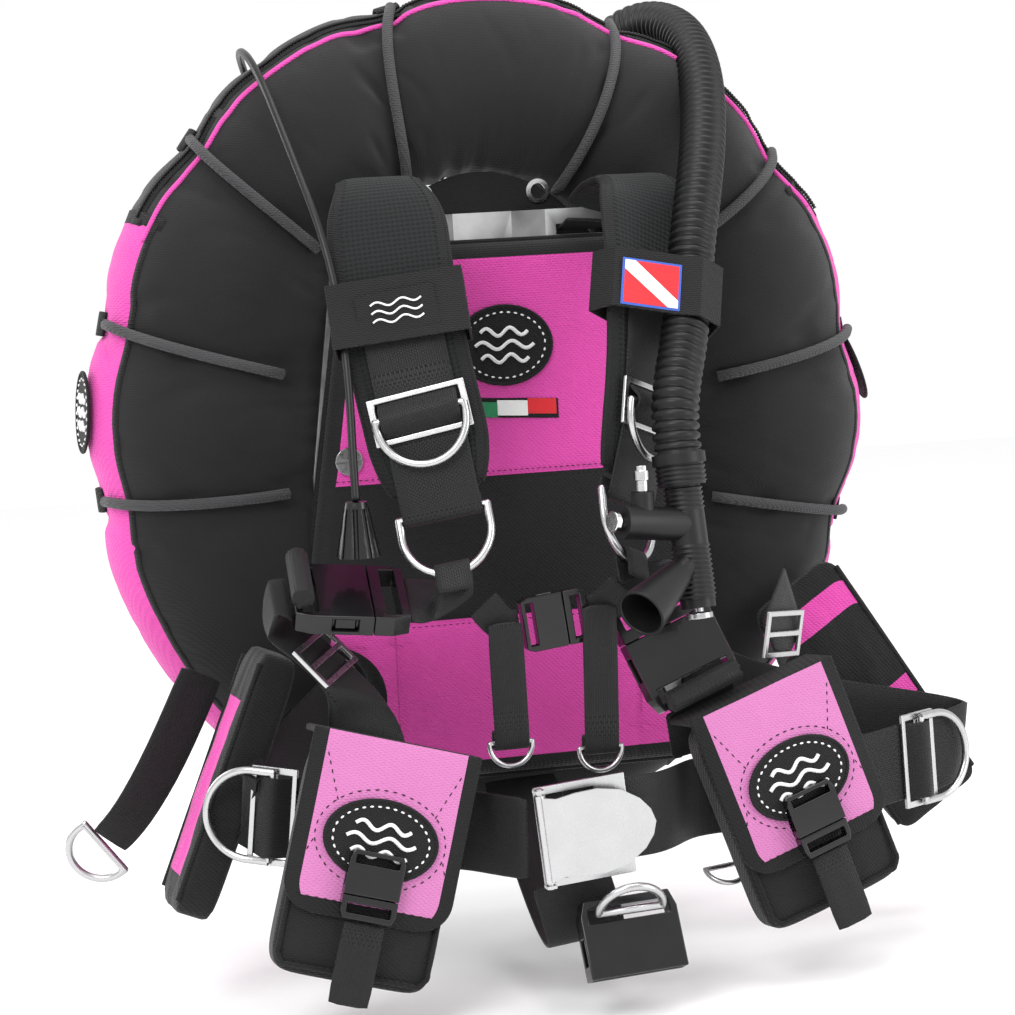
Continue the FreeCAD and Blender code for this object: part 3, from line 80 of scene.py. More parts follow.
TARGET = Vector((7.9, 0, -11)) * MM
AZIMUTH, ELEVATION, ROLL, DISTANCE = math.radians(-15), math.radians(5), math.radians(3), 2.2
look = Vector((math.sin(AZIMUTH) * math.cos(ELEVATION), -math.cos(AZIMUTH) * math.cos(ELEVATION),
               math.sin(ELEVATION)))
camera_data = bpy.data.cameras.new("camera")
camera = bpy.data.objects.new("camera", camera_data)
bpy.context.scene.collection.objects.link(camera)
back = look.normalized()
side = UP.cross(back).normalized()
rise = back.cross(side)
turned_side = side * math.cos(ROLL) - rise * math.sin(ROLL)
turned_rise = rise * math.cos(ROLL) + side * math.sin(ROLL)
place = Matrix((turned_side, turned_rise, back)).transposed().to_4x4()
place.translation = TARGET + back * DISTANCE
camera.matrix_world = place
SENSOR_WIDTH, FOCAL_PIXELS, PICTURE_WIDTH = 36, 3300, 1015
camera_data.lens = SENSOR_WIDTH * FOCAL_PIXELS / PICTURE_WIDTH
camera_data.sensor_width = SENSOR_WIDTH
camera_data.clip_end = 50
bpy.context.scene.camera = camera

bpy.context.scene.view_settings.view_transform = "Standard"
world = bpy.data.worlds.new("studio")
bpy.context.scene.world = world
world.use_nodes = True
world.node_tree.nodes["Background"].inputs[0].default_value = (1, 1, 1, 1)
world.node_tree.nodes["Background"].inputs[1].default_value = 1.0


def lamp(name, spot, aim, size, power):
    data = bpy.data.lights.new(name, "AREA")
    data.shape = "RECTANGLE"
    data.size, data.size_y = size
    data.energy = power
    item = bpy.data.objects.new(name, data)
    bpy.context.scene.collection.objects.link(item)
    item.location = spot
    item.rotation_euler = (Vector(aim) - Vector(spot)).to_track_quat("-Z", "Y").to_euler()


lamp("key", (-1.4, -1.9, 1.6), (0, 0, 0), (1.2, 1.2), 42)
lamp("fill", (1.9, -1.6, 0.5), (0, 0, 0), (1.0, 1.8), 24)
lamp("top", (0.2, -0.4, 2.0), (0, 0, 0), (1.6, 1.2), 22)
lamp("rim", (-1.6, 1.2, 0.9), (0, 0, 0.1), (0.8, 1.4), 16)


# ------------------------------------------------------------------ materials

def new_material(name):
    made = bpy.data.materials.new(name)
    made.use_nodes = True
    tree = made.node_tree
    shader = tree.nodes["Principled BSDF"]
    return made, tree, shader


def node(tree, kind, **values):
    item = tree.nodes.new(kind)
    for key, value in values.items():
        if key in item.inputs:
            item.inputs[key].default_value = value
        else:
            setattr(item, key, value)
    return item


def tinted(tree, shader, base, shade, scale, coords, detail=3):
    """Base colour that drifts between two shades, as dye and dust do."""
    cloud = node(tree, "ShaderNodeTexNoise", Scale=scale, Detail=detail, Roughness=0.6)
    tree.links.new(coords, cloud.inputs["Vector"])
    ramp = node(tree, "ShaderNodeValToRGB")
    ramp.color_ramp.elements[0].position = 0.3
    ramp.color_ramp.elements[1].position = 0.7
    ramp.color_ramp.elements[0].color = (*shade, 1)
    ramp.color_ramp.elements[1].color = (*base, 1)
    tree.links.new(cloud.outputs["Fac"], ramp.inputs["Fac"])
    tree.links.new(ramp.outputs["Color"], shader.inputs["Base Color"])
    return ramp


def thread_wave(tree, coords, direction, pitch, distortion=0.0):
    wave = node(tree, "ShaderNodeTexWave", Scale=1 / pitch / 3.0, Distortion=distortion)
    wave.wave_type = "BANDS"
    wave.bands_direction = direction
    wave.wave_profile = "SIN"
    tree.links.new(coords, wave.inputs["Vector"])
    return wave.outputs["Fac"]


def combined(tree, operation, first, second):
    item = node(tree, "ShaderNodeMath")
    item.operation = operation
    tree.links.new(first, item.inputs[0])
    if isinstance(second, (int, float)):
        item.inputs[1].default_value = second
    else:
        tree.links.new(second, item.inputs[1])
    return item.outputs[0]


def bumped(tree, shader, height, strength, distance):
    bump = node(tree, "ShaderNodeBump", Strength=strength, Distance=distance)
    tree.links.new(height, bump.inputs["Height"])
    tree.links.new(bump.outputs["Normal"], shader.inputs["Normal"])


def cloth(name, base, shade, pitch=0.0012, strength=0.5, rough=0.82, sheen=0.35, uv=False,
          coarse=0.0):
    """Woven cloth: crossing threads, uneven dye, a soft sheen."""
    made, tree, shader = new_material(name)
    where = node(tree, "ShaderNodeTexCoord")
    coords = where.outputs["UV"] if uv else where.outputs["Object"]
    tinted(tree, shader, base, shade, 9 if not uv else 14, where.outputs["Object"])
    if uv:
        warp = thread_wave(tree, coords, "X", pitch)
        weft = thread_wave(tree, coords, "Y", pitch)
    else:
        warp = thread_wave(tree, coords, "Z", pitch)
        weft = thread_wave(tree, coords, "DIAGONAL", pitch)
    weave = combined(tree, "MULTIPLY", warp, weft)
    fluff = node(tree, "ShaderNodeTexNoise", Scale=420, Detail=2)
    tree.links.new(where.outputs["Object"], fluff.inputs["Vector"])
    folds = node(tree, "ShaderNodeTexNoise", Scale=26, Detail=3)
    tree.links.new(where.outputs["Object"], folds.inputs["Vector"])
    height = combined(tree, "ADD", weave, combined(tree, "MULTIPLY", fluff.outputs["Fac"], 0.6))
    height = combined(tree, "ADD", height, combined(tree, "MULTIPLY", folds.outputs["Fac"], 2.2 + coarse))
    bumped(tree, shader, height, strength, pitch * 0.6)
    shader.inputs["Roughness"].default_value = rough
    shader.inputs["Sheen Weight"].default_value = sheen
    shader.inputs["Sheen Roughness"].default_value = 0.5
    shader.inputs["Specular IOR Level"].default_value = 0.25
    return made


def webbing(name, base, gap, yarn=0.0021):
    """Nylon webbing: short yarns laid like bricks, dark between them, slightly glossy."""
    made, tree, shader = new_material(name)
    where = node(tree, "ShaderNodeTexCoord")
    brick = node(tree, "ShaderNodeTexBrick", Scale=1 / yarn)
    brick.inputs["Brick Width"].default_value = 1.15
    brick.inputs["Row Height"].default_value = 0.72
    brick.inputs["Mortar Size"].default_value = 0.12
    brick.inputs["Mortar Smooth"].default_value = 1.0
    brick.inputs["Color1"].default_value = (*base, 1)
    brick.inputs["Color2"].default_value = (*[value * 0.72 for value in base], 1)
    brick.inputs["Mortar"].default_value = (*gap, 1)
    tree.links.new(where.outputs["UV"], brick.inputs["Vector"])
    tree.links.new(brick.outputs["Color"], shader.inputs["Base Color"])
    height = combined(tree, "MULTIPLY", brick.outputs["Fac"], -1.0)
    bumped(tree, shader, height, 0.9, yarn * 0.35)
    shader.inputs["Roughness"].default_value = 0.55
    shader.inputs["Sheen Weight"].default_value = 0.04
    shader.inputs["Specular IOR Level"].default_value = 0.3
    return made


def mesh_fabric(name, base, hole, pitch=0.0032):
    """Open 3-D spacer mesh: rounded holes in rows, darker inside."""
    made, tree, shader = new_material(name)
    where = node(tree, "ShaderNodeTexCoord")
    cells = node(tree, "ShaderNodeTexVoronoi", Scale=1 / pitch, Randomness=0.12)
    tree.links.new(where.outputs["UV"], cells.inputs["Vector"])
    ramp = node(tree, "ShaderNodeValToRGB")
    ramp.color_ramp.elements[0].position = 0.22
    ramp.color_ramp.elements[1].position = 0.42
    ramp.color_ramp.elements[0].color = (*hole, 1)
    ramp.color_ramp.elements[1].color = (*base, 1)
    tree.links.new(cells.outputs["Distance"], ramp.inputs["Fac"])
    tree.links.new(ramp.outputs["Color"], shader.inputs["Base Color"])
    bumped(tree, shader, cells.outputs["Distance"], 0.6, pitch * 0.4)
    shader.inputs["Roughness"].default_value = 0.8
    shader.inputs["Sheen Weight"].default_value = 0.08
    shader.inputs["Specular IOR Level"].default_value = 0.25
    return made


def metal(name, base, shade, rough, grain=240, strength=0.15):
    made, tree, shader = new_material(name)
    where = node(tree, "ShaderNodeTexCoord")
    tinted(tree, shader, base, shade, 60, where.outputs["Object"])
    fine = node(tree, "ShaderNodeTexNoise", Scale=grain, Detail=4)
    tree.links.new(where.outputs["Object"], fine.inputs["Vector"])
    spread = node(tree, "ShaderNodeMapRange")
    spread.inputs["To Min"].default_value = rough * 0.75
    spread.inputs["To Max"].default_value = rough * 1.35
    tree.links.new(fine.outputs["Fac"], spread.inputs["Value"])
    tree.links.new(spread.outputs["Result"], shader.inputs["Roughness"])
    bumped(tree, shader, fine.outputs["Fac"], strength, 0.0002)
    shader.inputs["Metallic"].default_value = 1
    return made


def plastic(name, base, shade, rough, grain=900, strength=0.12, coat=0.0):
    made, tree, shader = new_material(name)
    where = node(tree, "ShaderNodeTexCoord")
    tinted(tree, shader, base, shade, 45, where.outputs["Object"])
    fine = node(tree, "ShaderNodeTexNoise", Scale=grain, Detail=3)
    tree.links.new(where.outputs["Object"], fine.inputs["Vector"])
    spread = node(tree, "ShaderNodeMapRange")
    spread.inputs["To Min"].default_value = rough * 0.8
    spread.inputs["To Max"].default_value = rough * 1.25
    tree.links.new(fine.outputs["Fac"], spread.inputs["Value"])
    tree.links.new(spread.outputs["Result"], shader.inputs["Roughness"])
    bumped(tree, shader, fine.outputs["Fac"], strength, 0.0003)
    shader.inputs["Coat Weight"].default_value = coat
    shader.inputs["Specular IOR Level"].default_value = 0.3
    return made


BLACK = (0.0095, 0.0095, 0.0105)
BLACK_LOW = (0.005, 0.005, 0.0055)
PINK = (0.66, 0.066, 0.365)
PINK_LOW = (0.58, 0.052, 0.315)
LIGHT_PINK = (0.50, 0.168, 0.375)
LIGHT_PINK_LOW = (0.455, 0.14, 0.335)

wing_cloth = cloth("wing_cloth", (0.0068, 0.0068, 0.0074), (0.0038, 0.0038, 0.0042), 0.0011, 0.3, 0.8, 0.16)
panel_cloth = cloth("panel_cloth", BLACK, BLACK_LOW, 0.0016, 0.5, 0.8, 0.12)
pink_cloth = cloth("pink_cloth", PINK, PINK_LOW, 0.0016, 0.55, 0.75, 0.12)
flap_cloth = cloth("flap_cloth", LIGHT_PINK, LIGHT_PINK_LOW, 0.0016, 0.5, 0.75, 0.12)
bind_cloth = cloth("binding", (0.0065, 0.0065, 0.007), (0.0035, 0.0035, 0.004), 0.0014, 0.7, 0.7, 0.05)
web_cloth = webbing("webbing", (0.0075, 0.0075, 0.008), (0.0012, 0.0012, 0.0014))
pad_mesh = mesh_fabric("pad_mesh", (0.0060, 0.0075, 0.008), (0.0018, 0.0018, 0.002))
pink_dark = cloth("pink_dark", (0.40, 0.035, 0.21), (0.33, 0.028, 0.17), 0.0008, 0.5, 0.75, 0.1)
white_thread = cloth("white_thread", (0.8, 0.8, 0.79), (0.68, 0.68, 0.68), 0.0008, 0.5)
red_thread = cloth("red_thread", (0.68, 0.02, 0.03), (0.56, 0.015, 0.02), 0.0008, 0.5)
green_thread = cloth("green_thread", (0.02, 0.23, 0.09), (0.015, 0.17, 0.07), 0.0008, 0.5)
blue_thread = cloth("blue_thread", (0.04, 0.11, 0.48), (0.03, 0.08, 0.38), 0.0008, 0.5)
cord_braid = cloth("cord_braid", (0.052, 0.052, 0.054), (0.028, 0.028, 0.03), 0.0016, 0.8, 0.7, 0.12)
steel = metal("steel", (0.50, 0.50, 0.505), (0.465, 0.465, 0.47), 0.27)
plate_steel = metal("plate_steel", (0.60, 0.60, 0.60), (0.48, 0.48, 0.49), 0.36, 160)
chrome = metal("chrome", (0.66, 0.66, 0.67), (0.58, 0.58, 0.59), 0.12)
gloss = plastic("gloss_black", (0.006, 0.006, 0.0065), (0.004, 0.004, 0.0042), 0.24, coat=0.25)
matte = plastic("matte_black", (0.007, 0.007, 0.0075), (0.0045, 0.0045, 0.005), 0.42)
hose_rubber = plastic("hose_rubber", (0.0062, 0.0062, 0.0065), (0.004, 0.004, 0.0042), 0.42, 500)
pull_rubber = plastic("pull_rubber", (0.0085, 0.0085, 0.009), (0.0055, 0.0055, 0.006), 0.35, 700)
film = plastic("bladder_film", (0.03, 0.03, 0.033), (0.02, 0.02, 0.024), 0.35)
floor_paint = plastic("floor_paint", (0.93, 0.93, 0.93), (0.92, 0.92, 0.92), 0.9, 8, 0.02)


# ------------------------------------------------------------------ mesh helpers

def piece(name, verts, faces, material, body=None, uvs=None, smooth=True, material_of=None,
          extra=()):
    """New mesh object; material_of gives each face's slot among material and extra."""
    data = bpy.data.meshes.new(name)
    data.from_pydata([tuple(v) for v in verts], [], faces)
    data.materials.append(material)
    for item in extra:
        data.materials.append(item)
    if uvs:
        layer = data.uv_layers.new(name="UVMap")
        for loop in data.loops:
            layer.data[loop.index].uv = uvs[loop.vertex_index]
    for polygon in data.polygons:
        polygon.use_smooth = smooth
        if material_of:
            polygon.material_index = material_of[polygon.index]
    item = bpy.data.objects.new(name, data)
    bpy.context.scene.collection.objects.link(item)
    if body:
        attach(item, body)
    return item


def fix_normals(item):
    mesh = bmesh.new()
    mesh.from_mesh(item.data)
    bmesh.ops.recalc_face_normals(mesh, faces=mesh.faces)
    mesh.to_mesh(item.data)
    mesh.free()


def lattice(rows, wrap_rows=False, wrap_columns=False):
    """Vertices and quads of a grid of points."""
    tall, wide = len(rows), len(rows[0])
    verts = [point for row in rows for point in row]
    faces = []
    for i in range(tall if wrap_rows else tall - 1):
        for j in range(wide if wrap_columns else wide - 1):
            k, m = (i + 1) % tall, (j + 1) % wide
            faces.append((i * wide + j, i * wide + m, k * wide + m, k * wide + j))
    return verts, faces


def smooth_points(points, count):
    """Points of a Catmull-Rom curve through the given points."""
    result = []
    last = len(points) - 1
    for i in range(last):
        a, b = points[max(i - 1, 0)], points[i]
        c, d = points[i + 1], points[min(i + 2, last)]
        for step in range(count):
            t = step / count
            result.append(0.5 * ((2 * b) + (c - a) * t + (2 * a - 5 * b + 4 * c - d) * t * t
                                 + (3 * b - a - 3 * c + d) * t * t * t))
    result.append(points[-1].copy())
    return result


def sweep(name, centres, acrosses, outline, material, body):
    """Solid with a cross-section (across, out) in metres swept along centres."""
    rows = []
    uvs = []
    run = 0.0
    edge = [0.0]
    for a, b in zip(outline, outline[1:] + outline[:1]):
        edge.append(edge[-1] + math.dist(a, b))
    last = len(centres) - 1
    for i, centre in enumerate(centres):
        along = (centres[min(i + 1, last)] - centres[max(i - 1, 0)]).normalized()
        across = (acrosses[i] - along * acrosses[i].dot(along)).normalized()
        out = along.cross(across)
        if i:
            run += (centre - centres[i - 1]).length
        rows.append([centre + across * x + out * y for x, y in outline])
        uvs += [(run, edge[j]) for j in range(len(outline))]
    verts, faces = lattice(rows, wrap_columns=True)
    count = len(outline)
    faces.append(tuple(reversed(range(count))))
    faces.append(tuple(range(len(verts) - count, len(verts))))
    item = piece(name, verts, faces, material, body, uvs)
    fix_normals(item)
    return item


def pad_outline(wide, thick, steps=10, power=2.6):
    """Pillow-shaped cross-section: flat middle, rounded edges."""
    points = []
    for i in range(4 * steps):
        turn = 2 * math.pi * i / (4 * steps)
        c, s = math.cos(turn), math.sin(turn)
        points.append((wide / 2 * math.copysign(abs(c) ** (2 / power / 1.6), c),
                       thick / 2 * math.copysign(abs(s) ** (2 / power), s)))
    return points


def cord_mesh(name, points, radius, material, body, sides=12, closed=False, radii=None):
    """Round tube along dense points, carried by turning the frame as little as possible."""
    count = len(points)
    rows = []
    uvs = []
    reference = None
    run = 0.0
    for i, point in enumerate(points):
        ahead = points[(i + 1) % count] if closed else points[min(i + 1, count - 1)]
        behind = points[i - 1] if closed or i else points[0]
        along = (ahead - behind).normalized()
        if reference is None:
            reference = along.orthogonal()
        reference = (reference - along * reference.dot(along)).normalized()
        other = along.cross(reference)
        size = radii[i] if radii else radius
        if i:
            run += (point - points[i - 1]).length
        rows.append([point + reference * (size * math.cos(2 * math.pi * k / sides))
                     + other * (size * math.sin(2 * math.pi * k / sides)) for k in range(sides)])
        uvs += [(run, 2 * math.pi * radius * k / sides) for k in range(sides)]
    verts, faces = lattice(rows, wrap_rows=closed, wrap_columns=True)
    if not closed:
        faces.append(tuple(reversed(range(sides))))
        faces.append(tuple(range(len(verts) - sides, len(verts))))
    item = piece(name, verts, faces, material, body, uvs)
    fix_normals(item)
    return item


def cad_copy(name, material, rides=True):
    """Copy of a CAD node's mesh, welded, standing for the node."""
    source = NODES[name]
    data = source.data.copy()
    item = bpy.data.objects.new(name + "_look", data)
    bpy.context.scene.collection.objects.link(item)
    data.materials.clear()
    data.materials.append(material)
    mesh = bmesh.new()
    mesh.from_mesh(data)
    bmesh.ops.remove_doubles(mesh, verts=mesh.verts, dist=2e-5)
    bmesh.ops.recalc_face_normals(mesh, faces=mesh.faces)
    mesh.to_mesh(data)
    mesh.free()
    for polygon in data.polygons:
        polygon.material_index = 0
    if rides:
        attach(item, source["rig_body"])
    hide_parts(name)
    return item


def hard(name, material, width=0.8, segments=3, angle=32):
    """Moulded or machined part: the CAD shape with its edges rounded."""
    item = cad_copy(name, material)
    data = item.data
    mesh = bmesh.new()
    mesh.from_mesh(data)
    bmesh.ops.dissolve_limit(mesh, angle_limit=math.radians(1.5), verts=mesh.verts, edges=mesh.edges)
    mesh.to_mesh(data)
    mesh.free()
    for polygon in data.polygons:
        polygon.use_smooth = True
    data.set_sharp_from_angle(angle=math.radians(angle + 8))
    bevel = item.modifiers.new("round", "BEVEL")
    bevel.width = width * MM
    bevel.segments = segments
    bevel.limit_method = "ANGLE"
    bevel.angle_limit = math.radians(angle)
    bevel.harden_normals = True
    bevel.use_clamp_overlap = True
    return item


def wire(name, material):
    """Steel wire part: the CAD shape shaded smooth."""
    item = cad_copy(name, material)
    for polygon in item.data.polygons:
        polygon.use_smooth = True
    item.data.set_sharp_from_angle(angle=math.radians(50))
    return item


WEB_WIDTHS = (50, 30, 25, 22, 16)


def strap(name, material, levels=2, rides=True):
    """Webbing: the CAD ribbon made of smooth curves, with crisp edges and UVs along it."""
    item = cad_copy(name, material, rides)
    data = item.data
    mesh = bmesh.new()
    mesh.from_mesh(data)
    bmesh.ops.join_triangles(mesh, faces=[f for f in mesh.faces if len(f.verts) == 3],
                             angle_face_threshold=math.radians(28),
                             angle_shape_threshold=math.radians(60))
    crease = mesh.edges.layers.float.new("crease_edge")
    for edge in mesh.edges:
        if len(edge.link_faces) == 2 and edge.calc_face_angle() > math.radians(62):
            edge[crease] = 0.85
    layer = mesh.loops.layers.uv.new("UVMap")
    for face in mesh.faces:
        normal = face.normal
        cross = min(face.edges, key=lambda e: min(abs(e.calc_length() / MM - wide) for wide in WEB_WIDTHS))
        across = (cross.verts[1].co - cross.verts[0].co).normalized()
        along = normal.cross(across)
        for loop in face.loops:
            loop[layer].uv = (loop.vert.co.dot(along), loop.vert.co.dot(across))
    mesh.to_mesh(data)
    mesh.free()
    for polygon in data.polygons:
        polygon.use_smooth = True
    sub = item.modifiers.new("curve", "SUBSURF")
    sub.levels = levels
    sub.render_levels = levels
    return item


# ------------------------------------------------------------------ hose and pull cord

def line_of(name, route):
    """Dense points on the smooth line that takes the route's points as control points."""
    data = bpy.data.curves.new(name + "_line", "CURVE")
    data.dimensions = "3D"
    data.resolution_u = 16
    spline = data.splines.new("NURBS")
    spline.points.add(len(route) - 1)
    for item, (x, y, z) in zip(spline.points, route):
        item.co = (x * MM, y * MM, z * MM, 1)
    spline.order_u = 3
    spline.use_endpoint_u = True
    holder = bpy.data.objects.new(name + "_line", data)
    bpy.context.scene.collection.objects.link(holder)
    line = bpy.data.meshes.new_from_object(holder)
    points = [v.co.copy() for v in line.vertices]
    bpy.data.objects.remove(holder)
    return points


def evenly(points, step):
    """The same line with points a fixed step apart, and its length."""
    lengths = [0.0]
    for a, b in zip(points, points[1:]):
        lengths.append(lengths[-1] + (b - a).length)
    total = lengths[-1]
    count = max(2, round(total / step))
    result = []
    k = 0
    for i in range(count + 1):
        want = total * i / count
        while k < len(lengths) - 2 and lengths[k + 1] < want:
            k += 1
        share = (want - lengths[k]) / max(1e-9, lengths[k + 1] - lengths[k])
        result.append(points[k].lerp(points[k + 1], min(1.0, share)))
    return result, total


HOSE = [(118, 103, 262.5), (118, 103, 285), (130, 97, 305), (149, 75, 312), (158, 34, 301),
        (152, -17, 272), (137, -63, 235), (119, -102, 198), (104, -127, 162), (95, -141, 128),
        (86, -155, 98), (75, -170, 74), (69.2, -178.9, 48.6), (70.5, -182, 23.1)]
RIB_PITCH = 6.2 * MM
hose_line, hose_length = evenly(line_of("hose", HOSE), RIB_PITCH / 6)
HOSE_OUT, HOSE_IN = 15 * MM, 12.4 * MM
profile = (HOSE_IN, HOSE_IN * 1.04, HOSE_OUT * 0.97, HOSE_OUT, HOSE_OUT, HOSE_OUT * 0.97)
radii = [profile[i % 6] for i in range(len(hose_line))]
for i in list(range(9)) + list(range(len(radii) - 9, len(radii))):
    radii[i] = HOSE_OUT * 0.97
hose = cord_mesh("corrugated_hose", hose_line, HOSE_OUT, hose_rubber, "vest", 36, radii=radii)
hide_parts("inflator_hose")

PULL = [(-125.5, 90, 261.5), (-131, 90, 274), (-138, 80, 289), (-145, 56, 298), (-149, 26, 299),
        (-149, -4, 291), (-146, -32, 271), (-142, -54, 246), (-137, -76, 217), (-131, -95, 187),
        (-126.5, -108.5, 157), (-124, -118, 126), (-124, -128, 96), (-125, -136, 68),
        (-127, -144, 40), (-127.9, -149.8, 13.5)]
pull_line, pull_length = evenly(line_of("pull", PULL), 3 * MM)
pull = cord_mesh("pull_cord", pull_line, 2.6 * MM, pull_rubber, None, 12)
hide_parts("dump_cord")
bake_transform(pull)

# ------------------------------------------------------------------ wing


def wing_section(angle):
    s, c = math.sin(angle), math.cos(angle)
    outer = Vector((256 * s, 0, 50 + 272 * c))
    inner = Vector((112 * s, 0, 48 + 166 * c))
    middle = (outer + inner) / 2 + Vector((0, 27 + 32 * min(c, 0) ** 2, 0))
    return middle, (outer - inner).normalized(), (outer - inner).length / 2, 60 - 10 * c * c


BUNGEES = [(-11, -26, 150), (-46, -52, 116), (-74, -78, 116), (-98, -101, 116),
           (22, 27, 150), (53, 57, 116), (81, 84, 116), (107, 108, 116)]


def swell(angle, turn):
    """How far the cloth stands above the plain tube, in mm: full between the bungees."""
    a, t = math.degrees(angle), math.degrees(turn)
    a = (a + 180) % 360 - 180
    pressed = 0.0
    for start, end, finish in BUNGEES:
        share = min(1.0, max(0.0, t / finish))
        near = (a - start - (end - start) * share) / 5.8
        reach = 1.0 if -25 < t < finish else max(0.0, 1 - min(abs(t + 25), abs(t - finish)) / 45)
        pressed = max(pressed, math.exp(-near * near) * reach)
    lift = 11.4 - 7.6 * pressed
    if a < -31 + 6 and a > -31 - 6 and -40 < t < 40:
        lift -= 2.2 * math.exp(-((a + 31) / 2.6) ** 2) * (1 - abs(t) / 40)
    inner = max(0.0, (abs(t) - 95) / 85)
    gather = noise.noise(Vector((math.cos(angle) * 15, math.sin(angle) * 15, t / 75)))
    broad = noise.noise(Vector((math.cos(angle) * 3.2, math.sin(angle) * 3.2, t / 50 + 7)))
    creases = max(0.0, noise.noise(Vector((a / 3.2, t / 26, 3))) - 0.1) * (0.6 + 2.2 * pressed)
    return lift * (1 - 0.75 * inner) + gather * 3.2 * inner + broad * 1.8 - creases * 2.4


def wing_spot(angle, turn, lift=0.0):
    """Point on the cloth at an angle round the ring and a turn round the tube, in metres."""
    middle, out, half, deep = wing_section(angle)
    c, s = math.cos(turn), math.sin(turn)
    normal = (out * (c * deep) + FRONT * (s * half)).normalized()
    return (middle + out * (half * c) + FRONT * (deep * s)
            + normal * (swell(angle, turn) + lift)) * MM


SIDE_FROM, SIDE_TO = 59, 152
RINGS, ROUND = 540, 132
rows = []
uvs = []
for i in range(RINGS):
    angle = 2 * math.pi * i / RINGS
    rows.append([wing_spot(angle, 2 * math.pi * j / ROUND - math.pi) for j in range(ROUND)])
verts, faces = lattice(rows, True, True)
paint = []
for i in range(RINGS):
    a = (360 * (i + 0.5) / RINGS + 180) % 360 - 180
    for j in range(ROUND):
        t = 360 * (j + 0.5) / ROUND - 180
        paint.append(1 if SIDE_FROM < abs(a) < SIDE_TO and -52 < t < 33 else 0)
wing = piece("wing_cover", verts, faces, wing_cloth, "vest", material_of=paint, extra=[pink_cloth])
fix_normals(wing)
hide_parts("wing_shell")


def on_wing_line(name, path, radius, material, lift=0.6):
    points = [wing_spot(math.radians(a), math.radians(t), lift) for a, t in path]
    dense = smooth_points(points, 3)
    return cord_mesh(name, dense, radius * MM, material, "vest", 8)


def wing_band(name, path, wide, thick, material, lift=0.5):
    """Flat tape sewn on the wing along (angle, turn) stations."""
    centres = []
    acrosses = []
    last = len(path) - 1
    for i, (a, t) in enumerate(path):
        angle, turn = math.radians(a), math.radians(t)
        here = wing_spot(angle, turn, lift)
        ahead = path[min(i + 1, last)]
        behind = path[max(i - 1, 0)]
        run = (wing_spot(math.radians(ahead[0]), math.radians(ahead[1]), lift)
               - wing_spot(math.radians(behind[0]), math.radians(behind[1]), lift))
        normal = (wing_spot(angle, turn, lift + 5) - wing_spot(angle, turn, lift - 5)).normalized()
        centres.append(here)
        acrosses.append(normal.cross(run.normalized()))
    half, low = wide / 2 * MM, -thick * MM
    outline = [(-half, 0), (-half, low), (half, low), (half, 0)]
    return sweep(name, centres, acrosses, outline, material, "vest")


def arc(a0, a1, t0, t1=None, step=2.0):
    count = max(2, int(abs(a1 - a0) / step))
    t1 = t0 if t1 is None else t1
    return [(a0 + (a1 - a0) * i / count, t0 + (t1 - t0) * i / count) for i in range(count + 1)]


on_wing_line("top_piping", arc(-62, 62, 30), 1.7, pink_cloth, 0.6)
wing_band("zip_tape", arc(-60, 64, 17), 13, 0.9, bind_cloth, 0.3)
for sign in (-1, 1):
    tag = "l" if sign < 0 else "r"
    wing_band("panel_edge_front_" + tag, arc(sign * SIDE_FROM, sign * SIDE_TO, 33), 5, 1.0, bind_cloth)
    wing_band("panel_edge_back_" + tag, arc(sign * SIDE_FROM, sign * SIDE_TO, -52), 6, 1.0, bind_cloth)
    for end, label in ((SIDE_FROM, "top"), (SIDE_TO, "low")):
        path = [(sign * end, t) for t in range(-54, 40, 4)]
        wing_band(f"panel_end_{label}_{tag}", path, 9, 1.2, bind_cloth)
wing_band("rear_seam", arc(-180, 180, -100, step=3), 5, 0.7, bind_cloth, 0.2)

teeth_rows = [wing_spot(math.radians(a), math.radians(t), 1.6)
              for a, t in arc(-59, 63, 17, step=0.62)]
teeth_line = evenly(teeth_rows, 1.1 * MM)[0]
cord_mesh("zip_teeth", teeth_line, 1.3 * MM, matte, "vest", 6,
          radii=[(1.5 if i % 2 else 0.9) * MM for i in range(len(teeth_line))])


def solid_outline(name, outline, spot, thick, material, body, round_mm=0.5):
    """Flat plate from an outline in mm, on a frame (origin, across, up, out)."""
    origin, across, rise_to, out = spot
    count = len(outline)
    low = [origin + (across * x + rise_to * y) * MM for x, y in outline]
    high = [point + out * (thick * MM) for point in low]
    faces = [tuple(reversed(range(count))), tuple(range(count, 2 * count))]
    faces += [(i, (i + 1) % count, count + (i + 1) % count, count + i) for i in range(count)]
    item = piece(name, low + high, faces, material, body, [(x * MM, y * MM) for x, y in outline] * 2,
                 smooth=False)
    fix_normals(item)
    if round_mm:
        bevel = item.modifiers.new("round", "BEVEL")
        bevel.width = round_mm * MM
        bevel.segments = 2
        bevel.limit_method = "ANGLE"
    return item


def oval(a, b, count=64):
    return [(a * math.cos(2 * math.pi * i / count), b * math.sin(2 * math.pi * i / count))
            for i in range(count)]


def ring_line(spot, a, b, lift, count=72):
    origin, across, rise_to, out = spot
    return [origin + (across * (a * math.cos(2 * math.pi * i / count))
                      + rise_to * (b * math.sin(2 * math.pi * i / count)) + out * lift) * MM
            for i in range(count)]


